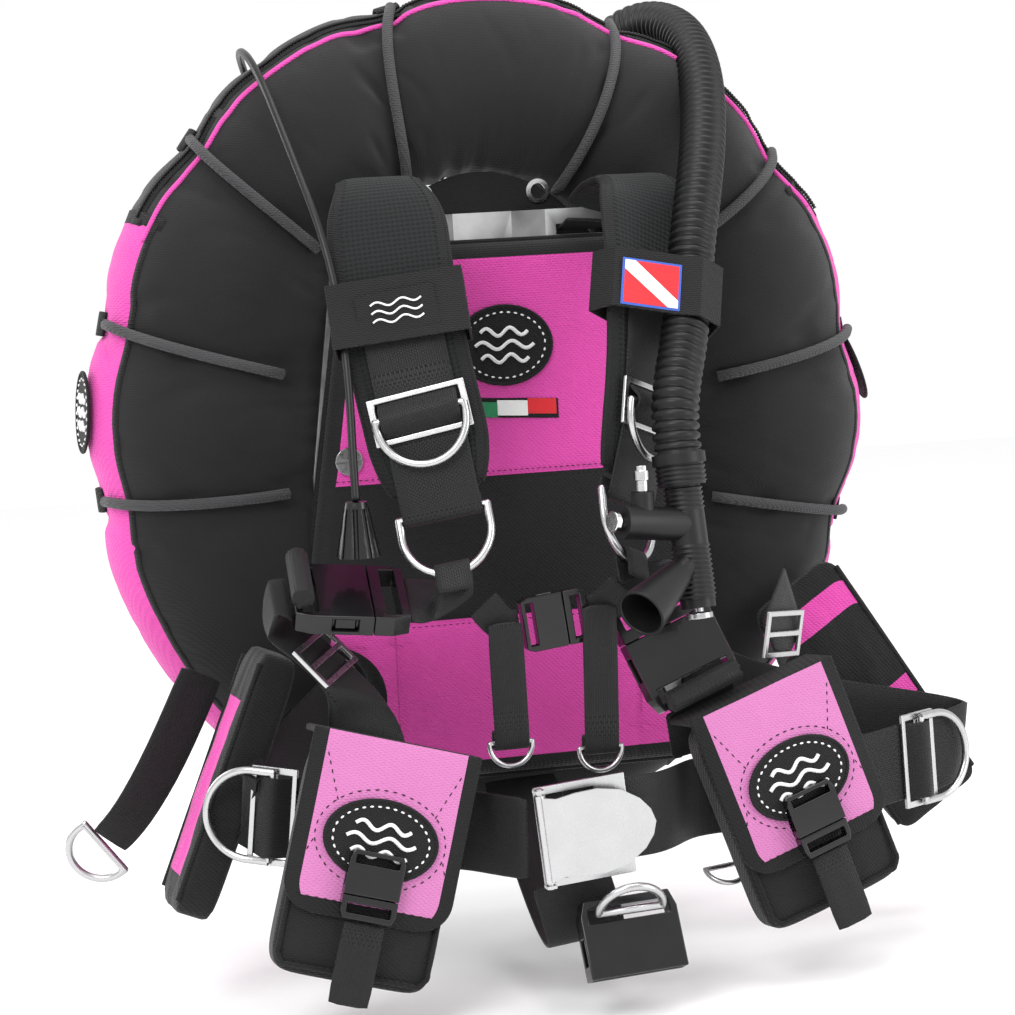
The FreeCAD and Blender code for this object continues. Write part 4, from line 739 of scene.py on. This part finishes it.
def dashes(name, points, radius, material, body, on=5, off=3):
    """Row of stitches: short thread capsules along dense points, in one mesh."""
    verts = []
    faces = []
    period = on + off
    for start in range(0, len(points) - on + 1, period):
        chunk = points[start:start + on]
        base = len(verts)
        along = (chunk[-1] - chunk[0]).normalized()
        first = along.orthogonal().normalized()
        second = along.cross(first)
        for k, point in enumerate(chunk):
            size = radius * MM * (0.35 if k in (0, len(chunk) - 1) else 1.0)
            verts += [point + first * (size * math.cos(math.pi / 3 * n))
                      + second * (size * math.sin(math.pi / 3 * n)) for n in range(6)]
        for k in range(len(chunk) - 1):
            for n in range(6):
                m = (n + 1) % 6
                faces.append((base + k * 6 + n, base + k * 6 + m, base + (k + 1) * 6 + m,
                              base + (k + 1) * 6 + n))
        faces.append(tuple(base + n for n in reversed(range(6))))
        faces.append(tuple(base + (len(chunk) - 1) * 6 + n for n in range(6)))
    item = piece(name, verts, faces, material, body)
    return item


def emblem(name, spot, a, b, body="vest"):
    """Generic oval badge: black ground, raised rim, white ring of stitches, three waves."""
    solid_outline(name + "_ground", oval(a, b), spot, 1.2, bind_cloth, body, 0.4)
    rim = ring_line(spot, a, b, 1.0)
    cord_mesh(name + "_rim", rim, 1.1 * MM, bind_cloth, body, 8, closed=True)
    ring = evenly(ring_line(spot, a * 0.86, b * 0.84, 1.5, 200) , 0.8 * MM)[0]
    dashes(name + "_ring", ring, 0.65, white_thread, body, 4, 2)
    origin, across, rise_to, out = spot
    for row in (-1, 0, 1):
        long = a * (0.5 if row else 0.62)
        wave = [origin + (across * (long * (2 * k / 40 - 1))
                          + rise_to * (row * b * 0.34 + b * 0.1 * math.sin(k / 40 * 4 * math.pi))
                          + out * 1.5) * MM for k in range(41)]
        cord_mesh(f"{name}_wave_{row + 2}", wave, 1.25 * MM, white_thread, body, 6)


def wing_frame(a, t, lift=0.4):
    angle, turn = math.radians(a), math.radians(t)
    origin = wing_spot(angle, turn, lift)
    along = (wing_spot(angle + 0.03, turn, lift) - wing_spot(angle - 0.03, turn, lift)).normalized()
    out = (wing_spot(angle, turn, lift + 5) - wing_spot(angle, turn, lift)).normalized()
    across = out.cross(along).normalized()
    return origin, across, along * -1, out


for sign, tag in ((-1, "l"), (1, "r")):
    spot = wing_frame(sign * 86, 4, 1.2)
    emblem("wing_badge_" + tag, spot, 17, 26)

# Loops for the bungees, the bungees' steel eyelets and the centre panel
strap("bungee_loops", bind_cloth, 2)
wire("bungee_cords", cord_braid)
wire("wing_grommets", chrome)
hard("wing_center_panel", panel_cloth, 0.6)
NODES["wing_bladder"].data.materials.clear()
NODES["wing_bladder"].data.materials.append(film)

# ------------------------------------------------------------------ plate, pad and screws

hard("backplate", plate_steel, 0.9, 3, 20)
hard("backpad_screws", steel, 0.5)

PAD_TOP, PAD_LOW = 166, -184
NOTCH, NOTCH_Z, PAD_EDGE = 35, -125, 134


def pad_half_width(z):
    if z >= -40:
        return 100 + (PAD_EDGE - 100) * (PAD_TOP - z) / (PAD_TOP + 40)
    if z <= NOTCH_Z - NOTCH:
        return PAD_EDGE - (PAD_EDGE - 112) * (NOTCH_Z - NOTCH - z) / (NOTCH_Z - NOTCH - PAD_LOW)
    gap = NOTCH ** 2 - (z - NOTCH_Z) ** 2
    return PAD_EDGE - (math.sqrt(gap) if gap > 0 else 0)


BAND_TOP, BAND_LOW = 14.4, -78.6
pad_levels = [PAD_TOP - (PAD_TOP - PAD_LOW) * i / 175 for i in range(176)]
pad_steps = [-1 + j / 60 for j in range(121)]


def cushion(x, z, wide):
    """Height of the pad's face over its back, in mm."""
    rim = min(wide - abs(x), PAD_TOP - z, z - PAD_LOW)
    if z < NOTCH_Z + NOTCH + 20:
        away = math.hypot(abs(x) - PAD_EDGE, z - NOTCH_Z) - NOTCH
        rim = min(rim, max(0.0, away))
    round_off = math.sqrt(max(0.0, 1 - (1 - min(rim / 11, 1)) ** 2))
    seam = 0.0
    for level in (BAND_TOP, BAND_LOW):
        seam = max(seam, math.exp(-((z - level) / 2.2) ** 2))
    if z > BAND_TOP or z < BAND_LOW:
        seam = max(seam, 0.7 * math.exp(-((abs(x) - 80) / 1.8) ** 2))
    puff = 0.8 * noise.noise(Vector((x / 55, z / 55, 2))) + 0.25 * noise.noise(Vector((x / 12, z / 12, 5)))
    return 3 + 13.6 * round_off + puff * round_off - 1.6 * seam * round_off


PAD_RIM = 9


def column(share, wide, rim=PAD_RIM, inner=0.9):
    """Across position whose outer columns keep the binding's width."""
    if abs(share) <= inner:
        return share / inner * (wide - rim)
    return math.copysign(wide - rim + (abs(share) - inner) / (1 - inner) * rim, share)


rows = []
uvs = []
for z in pad_levels:
    wide = pad_half_width(z)
    across_row = [column(s, wide) for s in pad_steps]
    rows.append([Vector((x, -22.4 - cushion(x, z, wide), z)) * MM for x in across_row])
    uvs += [(x * MM, z * MM) for x in across_row]
verts, faces = lattice(rows)
count = len(verts)
verts += [Vector((v.x, -22.4 * MM, v.z)) for v in verts]
uvs += uvs
faces += [tuple(count + k for k in reversed(face)) for face in faces]
tall, wide_count = len(rows), len(rows[0])
border = ([j for j in range(wide_count)] + [i * wide_count + wide_count - 1 for i in range(1, tall)]
          + [(tall - 1) * wide_count + j for j in reversed(range(wide_count - 1))]
          + [i * wide_count for i in reversed(range(1, tall - 1))])
for a, b in zip(border, border[1:] + border[:1]):
    faces.append((a, b, count + b, count + a))
paint = []
for face in faces:
    z = sum(verts[k].z for k in face) / len(face) / MM
    columns = [k % wide_count for k in face]
    edge_column = min(columns) < 6 or max(columns) > wide_count - 7
    black = (BAND_LOW < z < BAND_TOP or edge_column or max(face) >= count
             or z > PAD_TOP - 10 or z < PAD_LOW + 11)
    paint.append(1 if black else 0)
pad = piece("back_pad", verts, faces, pink_cloth, "vest", uvs, material_of=paint, extra=[panel_cloth])
fix_normals(pad)
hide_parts("backpad")
face_rim = [Vector((verts[k].x, -24.6 * MM, verts[k].z)) for k in border]
cord_mesh("pad_binding", face_rim, 2.3 * MM, bind_cloth, "vest", 8, closed=True)


def pad_point(x, z, lift=0.0):
    return Vector((x, -22.4 - cushion(x, z, pad_half_width(z)) - lift, z)) * MM


for level, label in ((BAND_TOP, "top"), (BAND_LOW, "low")):
    for shift in (2.6, -2.6):
        wide = pad_half_width(level) - 9
        points = [pad_point(-wide + 2 * wide * k / 240, level + shift, 0.15) for k in range(241)]
        dashes(f"pad_stitch_{label}_{'u' if shift > 0 else 'd'}", points, 0.35, bind_cloth, "vest", 3, 1)
for sign in (-1, 1):
    for z0, z1, label in ((BAND_TOP + 3, PAD_TOP - 11, "top"), (-150, BAND_LOW - 3, "low")):
        points = [pad_point(sign * 82.5, z0 + (z1 - z0) * k / 160, 0.1) for k in range(161)]
        dashes(f"pad_seam_{label}_{'r' if sign > 0 else 'l'}", points, 0.4, pink_dark, "vest", 4, 1)
PAD_FRAME = (pad_point(0.7, 98.8, 0.1), Vector((1, 0, 0)), Vector((0, 0, 1)), FRONT)
emblem("pad_badge", PAD_FRAME, 32, 25.5)
for number, (x0, x1, material) in enumerate(((-25, -6, green_thread), (-6, 14.5, white_thread),
                                             (14.5, 34, red_thread)), start=1):
    spot = (pad_point((x0 + x1) / 2, 57.5, 0.2), Vector((1, 0, -0.065)).normalized(), UP, FRONT)
    half = (x1 - x0) / 2
    solid_outline(f"pad_flash_{number}", [(-half, -5), (half, -5), (half, 5), (-half, 5)], spot, 0.8,
                  material, "vest", 0.2)
spot = (pad_point(4.5, 57.5, 0.05), Vector((1, 0, -0.065)).normalized(), UP, FRONT)
solid_outline("pad_flash_edge", [(-31, -6.5), (31, -6.5), (31, 6.5), (-31, 6.5)], spot, 0.55,
              bind_cloth, "vest", 0.2)

# ------------------------------------------------------------------ shoulder straps

STRAPS = {
    "l": [(-74, -34, 184, 0), (-78, -47, 200, -4), (-83, -63, 207, -8), (-86, -88, 194, -12),
          (-88, -108, 162, -15), (-88, -123, 124, -18), (-84, -135, 84, -20),
          (-79, -143, 48, -20), (-75, -149, 14, -20)],
    "r": [(74, -34, 183, 0), (81, -47, 197, 6), (88, -63, 201, 12), (88, -88, 188, 20),
          (80, -108, 158, 29), (71, -123, 122, 37), (63, -135, 84, 41),
          (56, -143, 48, 40), (46, -149, 14, 38)],
}
STRAP_STEPS = 14
strap_lines = {}
for letter, rows in STRAPS.items():
    centres = smooth_points([Vector(row[:3]) for row in rows], STRAP_STEPS)
    turns = smooth_points([Vector((row[3], 0, 0)) for row in rows], STRAP_STEPS)
    acrosses = [Vector((math.cos(math.radians(t.x)), math.sin(math.radians(t.x)), 0)) for t in turns]
    strap_lines[letter] = (centres, acrosses)


def strap_spot(letter, index, share=0.0):
    """Centre, across, along and out on the shoulder strap, at a row of STRAPS plus a share."""
    centres, acrosses = strap_lines[letter]
    k = min(len(centres) - 2, int(round((index + share) * STRAP_STEPS)))
    along = (centres[k + 1] - centres[k]).normalized()
    across = (acrosses[k] - along * acrosses[k].dot(along)).normalized()
    return centres[k], across, along, along.cross(across)


def pad_narrow(i, last):
    """Share of the full width: the pad tapers at its lower end and over the shoulder."""
    low = max(0.0, (i - last * 0.86) / (last * 0.14))
    high = min(1.0, max(0.0, (last * 0.46 - i) / (last * 0.2)))
    return (1 - 0.32 * low ** 2) * (1 - 0.3 * high * high * (3 - 2 * high))


for letter in ("l", "r"):
    centres, acrosses = strap_lines[letter]
    last = len(centres) - 1
    outline = [(x * MM, y * MM) for x, y in pad_outline(73, 8.2, 12)]
    rows = []
    uvs = []
    run = 0.0
    for i, centre in enumerate(centres):
        along = (centres[min(i + 1, last)] - centres[max(i - 1, 0)]).normalized()
        across = (acrosses[i] - along * acrosses[i].dot(along)).normalized()
        out = along.cross(across)
        narrow = pad_narrow(i, last)
        thin = 1 if 2 < i < last - 2 else 0.7
        if i:
            run += (centre - centres[i - 1]).length * MM
        puff = 1 + 0.07 * noise.noise(Vector((run * 40, 3, 8)))
        rows.append([centre * MM + across * x * narrow + out * y * thin * puff for x, y in outline])
        uvs += [(run, x) for x, y in outline]
    verts, faces = lattice(rows, wrap_columns=True)
    count = len(outline)
    faces.append(tuple(reversed(range(count))))
    faces.append(tuple(range(len(verts) - count, len(verts))))
    paint = []
    for face in faces:
        k = [index % count for index in face]
        side = max(abs(outline[j][0]) for j in k)
        paint.append(1 if side > 31 * MM or len(face) > 4 else 0)
    cushion_item = piece("shoulder_cushion_" + letter, verts, faces, pad_mesh, "vest", uvs,
                         material_of=paint, extra=[bind_cloth])
    fix_normals(cushion_item)
    if letter == "l":
        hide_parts("shoulder_pads")
    for sign in (-1, 1):
        edge = []
        line = []
        for i, centre in enumerate(centres[2:-2], start=2):
            along = (centres[i + 1] - centres[i - 1]).normalized()
            across = (acrosses[i] - along * acrosses[i].dot(along)).normalized()
            narrow = pad_narrow(i, last)
            out = along.cross(across)
            edge.append((centre + across * (sign * 36.2 * narrow)) * MM)
            line.append((centre + across * (sign * 30 * narrow) + out * 3.65) * MM)
        cord_mesh(f"shoulder_edge_{letter}_{'b' if sign > 0 else 'a'}", edge, 1.9 * MM, bind_cloth,
                  "vest", 8)
        dense = evenly(line, 0.9 * MM)[0]
        dashes(f"shoulder_stitch_{letter}_{'b' if sign > 0 else 'a'}", dense, 0.35, bind_cloth, "vest",
               3, 1)

strap("shoulder_webbing", web_cloth)
hard("strap_sleeves", bind_cloth, 0.8, 3, 25)


def label_on_strap(name, letter, index, share, wide, tall, lift, material, shift=0.0):
    centre, across, along, out = strap_spot(letter, index, share)
    spot = ((centre + out * lift + across * shift) * MM, across, along * -1, out)
    solid_outline(name, [(-wide / 2, -tall / 2), (wide / 2, -tall / 2), (wide / 2, tall / 2),
                         (-wide / 2, tall / 2)], spot, 0.7, material, "vest", 0.25)
    return spot


spot = label_on_strap("sleeve_label_l", "l", 4, 0.97, 50, 26, 14.0, bind_cloth)
origin, across, rise_to, out = spot
for row in (-1, 0, 1):
    wave = [origin + (across * (16 * (2 * k / 40 - 1)) + out * 1.0
                      + rise_to * (row * 5.5 + 1.6 * math.sin(k / 40 * 4 * math.pi))) * MM
            for k in range(41)]
    cord_mesh(f"sleeve_label_wave_{row + 2}", wave, 0.7 * MM, white_thread, "vest", 6)
centre, across, along, out = strap_spot("r", 4, 0.97)
slope = Vector((33, 26.4)).normalized()
flag_across = across * slope.x + out * slope.y
flag_out = out * slope.x - across * slope.y
flag_at = centre + across * -25 + out * 24 + flag_out * 1.9
flag = (flag_at * MM, flag_across, along * -1, flag_out)
solid_outline("sleeve_flag_edge", [(-19, -15.5), (19, -15.5), (19, 15.5), (-19, 15.5)], flag, 0.5,
              blue_thread, "vest", 0.2)
solid_outline("sleeve_flag_red", [(-17.5, -14), (17.5, -14), (17.5, 14), (-17.5, 14)], flag, 0.9,
              red_thread, "vest", 0.2)
solid_outline("sleeve_flag_stripe", [(-17.5, 14), (-17.5, 8), (11, -14), (17.5, -14), (17.5, -9), (-11, 14)],
              flag, 1.25, white_thread, "vest", 0.15)

# ------------------------------------------------------------------ webbing

link = strap("link_webbing_r", web_cloth, rides=False)
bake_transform(link)
for name in ("link_webbing_l", "lower_webbing_r", "chest_strap_l", "crotch_strap"):
    strap(name, web_cloth)
lower = strap("lower_webbing_l", web_cloth, rides=False)
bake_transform(lower)
chest = strap("chest_strap_r", web_cloth, rides=False)
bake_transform(chest)
strap("waist_belt", web_cloth)
for letter in ("l", "r"):
    strap("pocket_strap_" + letter, web_cloth)

# ------------------------------------------------------------------ buckles, slides and rings

for name in ("shoulder_male_l", "shoulder_male_r", "shoulder_female_l", "shoulder_female_r",
             "chest_female", "chest_male", "pocket_females", "pocket_male_l", "pocket_male_r",
             "crotch_buckle"):
    hard(name, gloss, 1.0)
hard("webbing_slides", steel, 0.7)
for name in ("shoulder_dring_l", "shoulder_dring_r", "lower_rings", "tail_dring_l", "tail_dring_r",
             "waist_dring_l", "waist_dring_r", "end_dring", "crotch_dring"):
    wire(name, steel)
hard("waist_buckle_frame", steel, 0.8)
hard("waist_buckle_latch", steel, 0.8)
hard("waist_buckle_pin", steel, 0.4)

# ------------------------------------------------------------------ inflator, elbow, valve

hard("inflator_body", matte, 0.8)
INFLATOR = Vector((70.5, -182, 22.8))
AXIS = Vector((0.05, -0.12, -0.99)).normalized()
ridge_line = [(INFLATOR + AXIS * (13 + 0.75 * k)) * MM for k in range(94)]
ridge_radii = [(12.1 if k % 4 in (1, 2) else 11.1) * MM if k < 20 or k > 48 else 11.4 * MM
               for k in range(94)]
cord_mesh("inflator_ridges", ridge_line, 12 * MM, matte, "vest", 40, radii=ridge_radii)
cuff_line = [(INFLATOR + AXIS * (0.6 * k - 9.0)) * MM for k in range(36)]
cuff_radii = [(15.6 if 2 < k < 33 and k % 5 in (1, 2, 3) else 14.6) * MM for k in range(36)]
cord_mesh("inflator_cuff", cuff_line, 15 * MM, matte, "vest", 40, radii=cuff_radii)
hard("inflate_button", chrome, 0.8)
hard("deflate_button", steel, 0.8)
hard("inflator_nipple", chrome, 0.4)
hard("mouthpiece", matte, 0.8)
hard("hose_clamps", matte, 0.5)
hard("hose_elbow", matte, 1.0)
hard("dump_valve_body", matte, 1.0)
hard("dump_valve_seal", hose_rubber, 0.5)
hard("dump_knob", gloss, 1.0)

# ------------------------------------------------------------------ pockets

POCKETS = {"l": (Vector((-121, -200, -129)), Vector((0.95, -0.08, -0.27)), Vector((-0.165, -0.09, -0.98))),
           "r": (Vector((114, -187, -119)), Vector((0.94, 0.09, 0.31)), Vector((0.31, -0.05, -0.95)))}


def pocket_axes(letter):
    origin, across, down = POCKETS[letter]
    across = across.normalized()
    out = down.cross(across).normalized()
    return origin, across, across.cross(out), out


def soft_box(name, axes, wide, top, low, out_low, out_high, material, puff, seed, body="vest",
             steps=(56, 72, 16), paint=None, extra=()):
    """Stuffed pouch: a box with swollen faces, softened corners and shallow folds."""
    origin, across, down, out = axes
    nx, ny, nz = steps
    mesh = bmesh.new()
    cells = {}

    def corner(i, j, k):
        key = (i, j, k)
        if key not in cells:
            u, v, w = 2 * i / nx - 1, 2 * j / ny - 1, 2 * k / nz - 1
            power = 9
            size = (abs(u) ** power + abs(v) ** power + abs(w) ** power) ** (1 / power)
            scale = max(abs(u), abs(v), abs(w)) / size if size else 1
            u, v, w = u * scale, v * scale, w * scale
            swell_w = puff * (1 - u * u) * (1 - v * v)
            fold = noise.noise(Vector((u * 2.2 + seed, v * 2.8, w * 1.2)))
            fine = noise.noise(Vector((u * 6 + seed, v * 8, w * 3)))
            x = u * wide / 2 * (1 - 0.012 * (1 - v * v))
            y = (top + low) / 2 + v * (low - top) / 2
            z = (out_low + out_high) / 2 + w * ((out_high - out_low) / 2 - puff / 2 + swell_w / 2)
            amount = 1.5 * fold + 0.5 * fine
            z += amount * (0.4 + 0.6 * (1 - u * u)) if w > 0 else 0
            cells[key] = mesh.verts.new((origin + across * x + down * y + out * (z - 1.2)) * MM)
        return cells[key]

    spots = []

    def add(i, j, k, *corners):
        mesh.faces.new([corner(*item) for item in corners])
        spots.append(((2 * i / nx - 1) * wide / 2, top + (low - top) * j / ny,
                      out_low + (out_high - out_low) * k / nz))

    for i in range(nx):
        for j in range(ny):
            add(i + 0.5, j + 0.5, 0, (i, j, 0), (i, j + 1, 0), (i + 1, j + 1, 0), (i + 1, j, 0))
            add(i + 0.5, j + 0.5, nz, (i, j, nz), (i + 1, j, nz), (i + 1, j + 1, nz), (i, j + 1, nz))
    for i in range(nx):
        for k in range(nz):
            add(i + 0.5, 0, k + 0.5, (i, 0, k), (i + 1, 0, k), (i + 1, 0, k + 1), (i, 0, k + 1))
            add(i + 0.5, ny, k + 0.5, (i, ny, k), (i, ny, k + 1), (i + 1, ny, k + 1), (i + 1, ny, k))
    for j in range(ny):
        for k in range(nz):
            add(0, j + 0.5, k + 0.5, (0, j, k), (0, j, k + 1), (0, j + 1, k + 1), (0, j + 1, k))
            add(nx, j + 0.5, k + 0.5, (nx, j, k), (nx, j + 1, k), (nx, j + 1, k + 1), (nx, j, k + 1))
    bmesh.ops.recalc_face_normals(mesh, faces=mesh.faces)
    data = bpy.data.meshes.new(name)
    mesh.to_mesh(data)
    mesh.free()
    data.materials.append(material)
    for item in extra:
        data.materials.append(item)
    for polygon in data.polygons:
        polygon.use_smooth = True
        if paint:
            polygon.material_index = paint(*spots[polygon.index])
    item = bpy.data.objects.new(name, data)
    bpy.context.scene.collection.objects.link(item)
    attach(item, body)
    return item


FLAP_TALL, FLAP_HALF, FLAP_ROUND_FROM, FLAP_THICK = 110, 52, 90, 3.2


def flap_half(y):
    """Half width of a pocket flap at distance y down it, with rounded lower corners."""
    if y < FLAP_ROUND_FROM:
        return FLAP_HALF
    corner = FLAP_TALL - FLAP_ROUND_FROM
    return FLAP_HALF - corner + math.sqrt(max(0.0, corner ** 2 - (y - FLAP_ROUND_FROM) ** 2))


def flap_height(letter, x, y, share):
    """How far the flap's underside stands off the bag, in mm."""
    crown = 3.2 * (1 - share * share) * math.sin(math.pi * min(1, max(0, y / FLAP_TALL))) ** 0.8
    return 1.0 + crown + 0.8 * noise.noise(Vector((x / 26, y / 30, 4 if letter == "l" else 9)))


for letter in ("l", "r"):
    axes = pocket_axes(letter)
    origin, across, down, out = axes
    bag = soft_box("pocket_bag_" + letter, axes, 100, 8, 148, -32, 1.0, panel_cloth, 9,
                   3 if letter == "l" else 11)
    seam = [(origin + across * 46.4 + down * y + out * -3.4) * MM for y in range(14, 138, 3)]
    low = [(origin + across * x + down * 142.6 + out * -3.4) * MM for x in range(42, -43, -3)]
    rise = [(origin + across * -46.4 + down * y + out * -3.4) * MM for y in range(137, 13, -3)]
    cord_mesh("pocket_piping_" + letter, smooth_points(seam + low + rise, 2), 1.7 * MM, bind_cloth,
              "vest", 8)
    nx, ny = 60, 55
    rows = []
    uvs = []
    for face_side in (0, 1):
        for j in range(ny + 1):
            y = j / ny * FLAP_TALL
            half = flap_half(y)
            row = []
            for i in range(nx + 1):
                u = 2 * i / nx - 1
                x = column(u, half, 9, 0.8)
                rim = min(half - abs(x), FLAP_TALL - y) / 10
                lift = flap_height(letter, x, y, u)
                lift += FLAP_THICK * (0.55 + 0.45 * min(1, rim)) if face_side else 0
                curl = -2.2 * max(0.0, (y - 96) / 14) ** 2
                row.append((origin + across * x + down * y + out * (lift + curl)) * MM)
                uvs.append((x * MM, y * MM))
            rows.append(row)
    front, back_rows = rows[ny + 1:], rows[:ny + 1]
    verts, faces = lattice(front)
    back_verts, back_faces = lattice(back_rows)
    count = len(verts)
    faces += [tuple(count + k for k in reversed(face)) for face in back_faces]
    verts += back_verts
    width = nx + 1
    border = ([i for i in range(width)] + [j * width + nx for j in range(1, ny + 1)]
              + [ny * width + i for i in reversed(range(nx))]
              + [j * width for j in reversed(range(1, ny))])
    for a, b in zip(border, border[1:] + border[:1]):
        faces.append((a, b, count + b, count + a))
    paint = []
    for face in faces:
        columns = [k % width for k in face]
        lines = [k // width for k in face]
        black = min(columns) < 6 or max(columns) > nx - 6 or max(lines) > ny - 5 or max(face) >= count
        paint.append(1 if black else 0)
    flap = piece("pocket_flap_" + letter, verts, faces, flap_cloth, "vest", uvs[count:] + uvs[:count],
                 material_of=paint, extra=[bind_cloth])
    fix_normals(flap)

    def flap_point(x, y, lift=0.0):
        height = flap_height(letter, x, y, x / FLAP_HALF) + FLAP_THICK + lift
        return (origin + across * x + down * y + out * height) * MM

    roof = [(-52, -35), (52, -35), (52, 3.5), (-52, 3.5)]
    solid_outline("pocket_roof_" + letter, roof, ((origin + down * 4) * MM, across, out, down * -1),
                  4.4, bind_cloth, "vest", 1.6)
    badge_spot = (flap_point(0, 60, 0.1), across, down * -1, out)
    emblem("pocket_badge_" + letter, badge_spot, 34.5, 24)
    ring = [flap_point(40 * math.cos(2 * math.pi * k / 240), 60 + 30 * math.sin(2 * math.pi * k / 240),
                       0.1) for k in range(240)]
    dashes("pocket_ring_" + letter, evenly(ring, 0.9 * MM)[0], 0.45, bind_cloth, "vest", 4, 2)
    for number, (x0, y0, x1, y1) in enumerate(((-30, 41, -42, 12), (30, 41, 42, 12), (-40, 66, -43, 74),
                                                (40, 66, 43, 74)), start=1):
        seam = [flap_point(x0 + (x1 - x0) * k / 60, y0 + (y1 - y0) * k / 60, 0.1) for k in range(61)]
        dashes(f"pocket_seam_{letter}_{number}", evenly(seam, 0.9 * MM)[0], 0.4, bind_cloth, "vest", 4, 2)
    half_line = [flap_point(-43 + 86 * k / 200, 100.2, 0.1) for k in range(201)]
    dashes("pocket_hem_" + letter, evenly(half_line, 0.9 * MM)[0], 0.4, bind_cloth, "vest", 4, 2)
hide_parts("pocket_bags")
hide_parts("pocket_flaps")

SIDE = {"l": (Vector((-186, -80, -78)), Vector((0, -1, 0)), Vector((-0.387, 0, -0.92)), 58, 172, 30),
        "r": (Vector((190, -50, -74)), Vector((0.84, 0, 0.54)), Vector((0.54, 0, -0.84)), 70, 186, 14)}


def side_paint(letter, x, y, z):
    """1 where a side pouch is pink: a long strip on the left one, two bars on the right one."""
    if letter == "l":
        return 1 if 34 < y < 150 and -22 < x < 16 and z > -3 else 0
    return 1 if 14 < y < 34 or 96 < y < 112 else 0


for letter, (origin, across, down, wide, tall, deep) in SIDE.items():
    out = down.cross(across).normalized()
    axes = (origin, across, down.normalized(), out)
    pouch = soft_box("side_pouch_" + letter, axes, wide, 0, tall, -deep, 0, panel_cloth, 4,
                     21 if letter == "l" else 31, steps=(40, 96, 10),
                     paint=lambda x, y, z: side_paint(letter, x, y, z), extra=[pink_cloth])
    for sign in (-1, 1):
        edge = [(origin + across * (sign * (wide / 2 - 2.8)) + down * y + out * -4.4) * MM
                for y in range(8, int(tall) - 6, 3)]
        cord_mesh(f"side_piping_{letter}_{'b' if sign > 0 else 'a'}", edge, 2.1 * MM, bind_cloth,
                  "vest", 8)
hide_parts("side_pockets")

# ------------------------------------------------------------------ floor

FLOOR_Z = cad_box[0][2] - 0.02
floor_mesh = bpy.data.meshes.new("floor")
floor_mesh.from_pydata([(-4, -4, FLOOR_Z), (4, -4, FLOOR_Z), (4, 4, FLOOR_Z), (-4, 4, FLOOR_Z)], [],
                       [(0, 1, 2, 3)])
floor_mesh.materials.append(floor_paint)
floor = bpy.data.objects.new("floor", floor_mesh)
bpy.context.scene.collection.objects.link(floor)
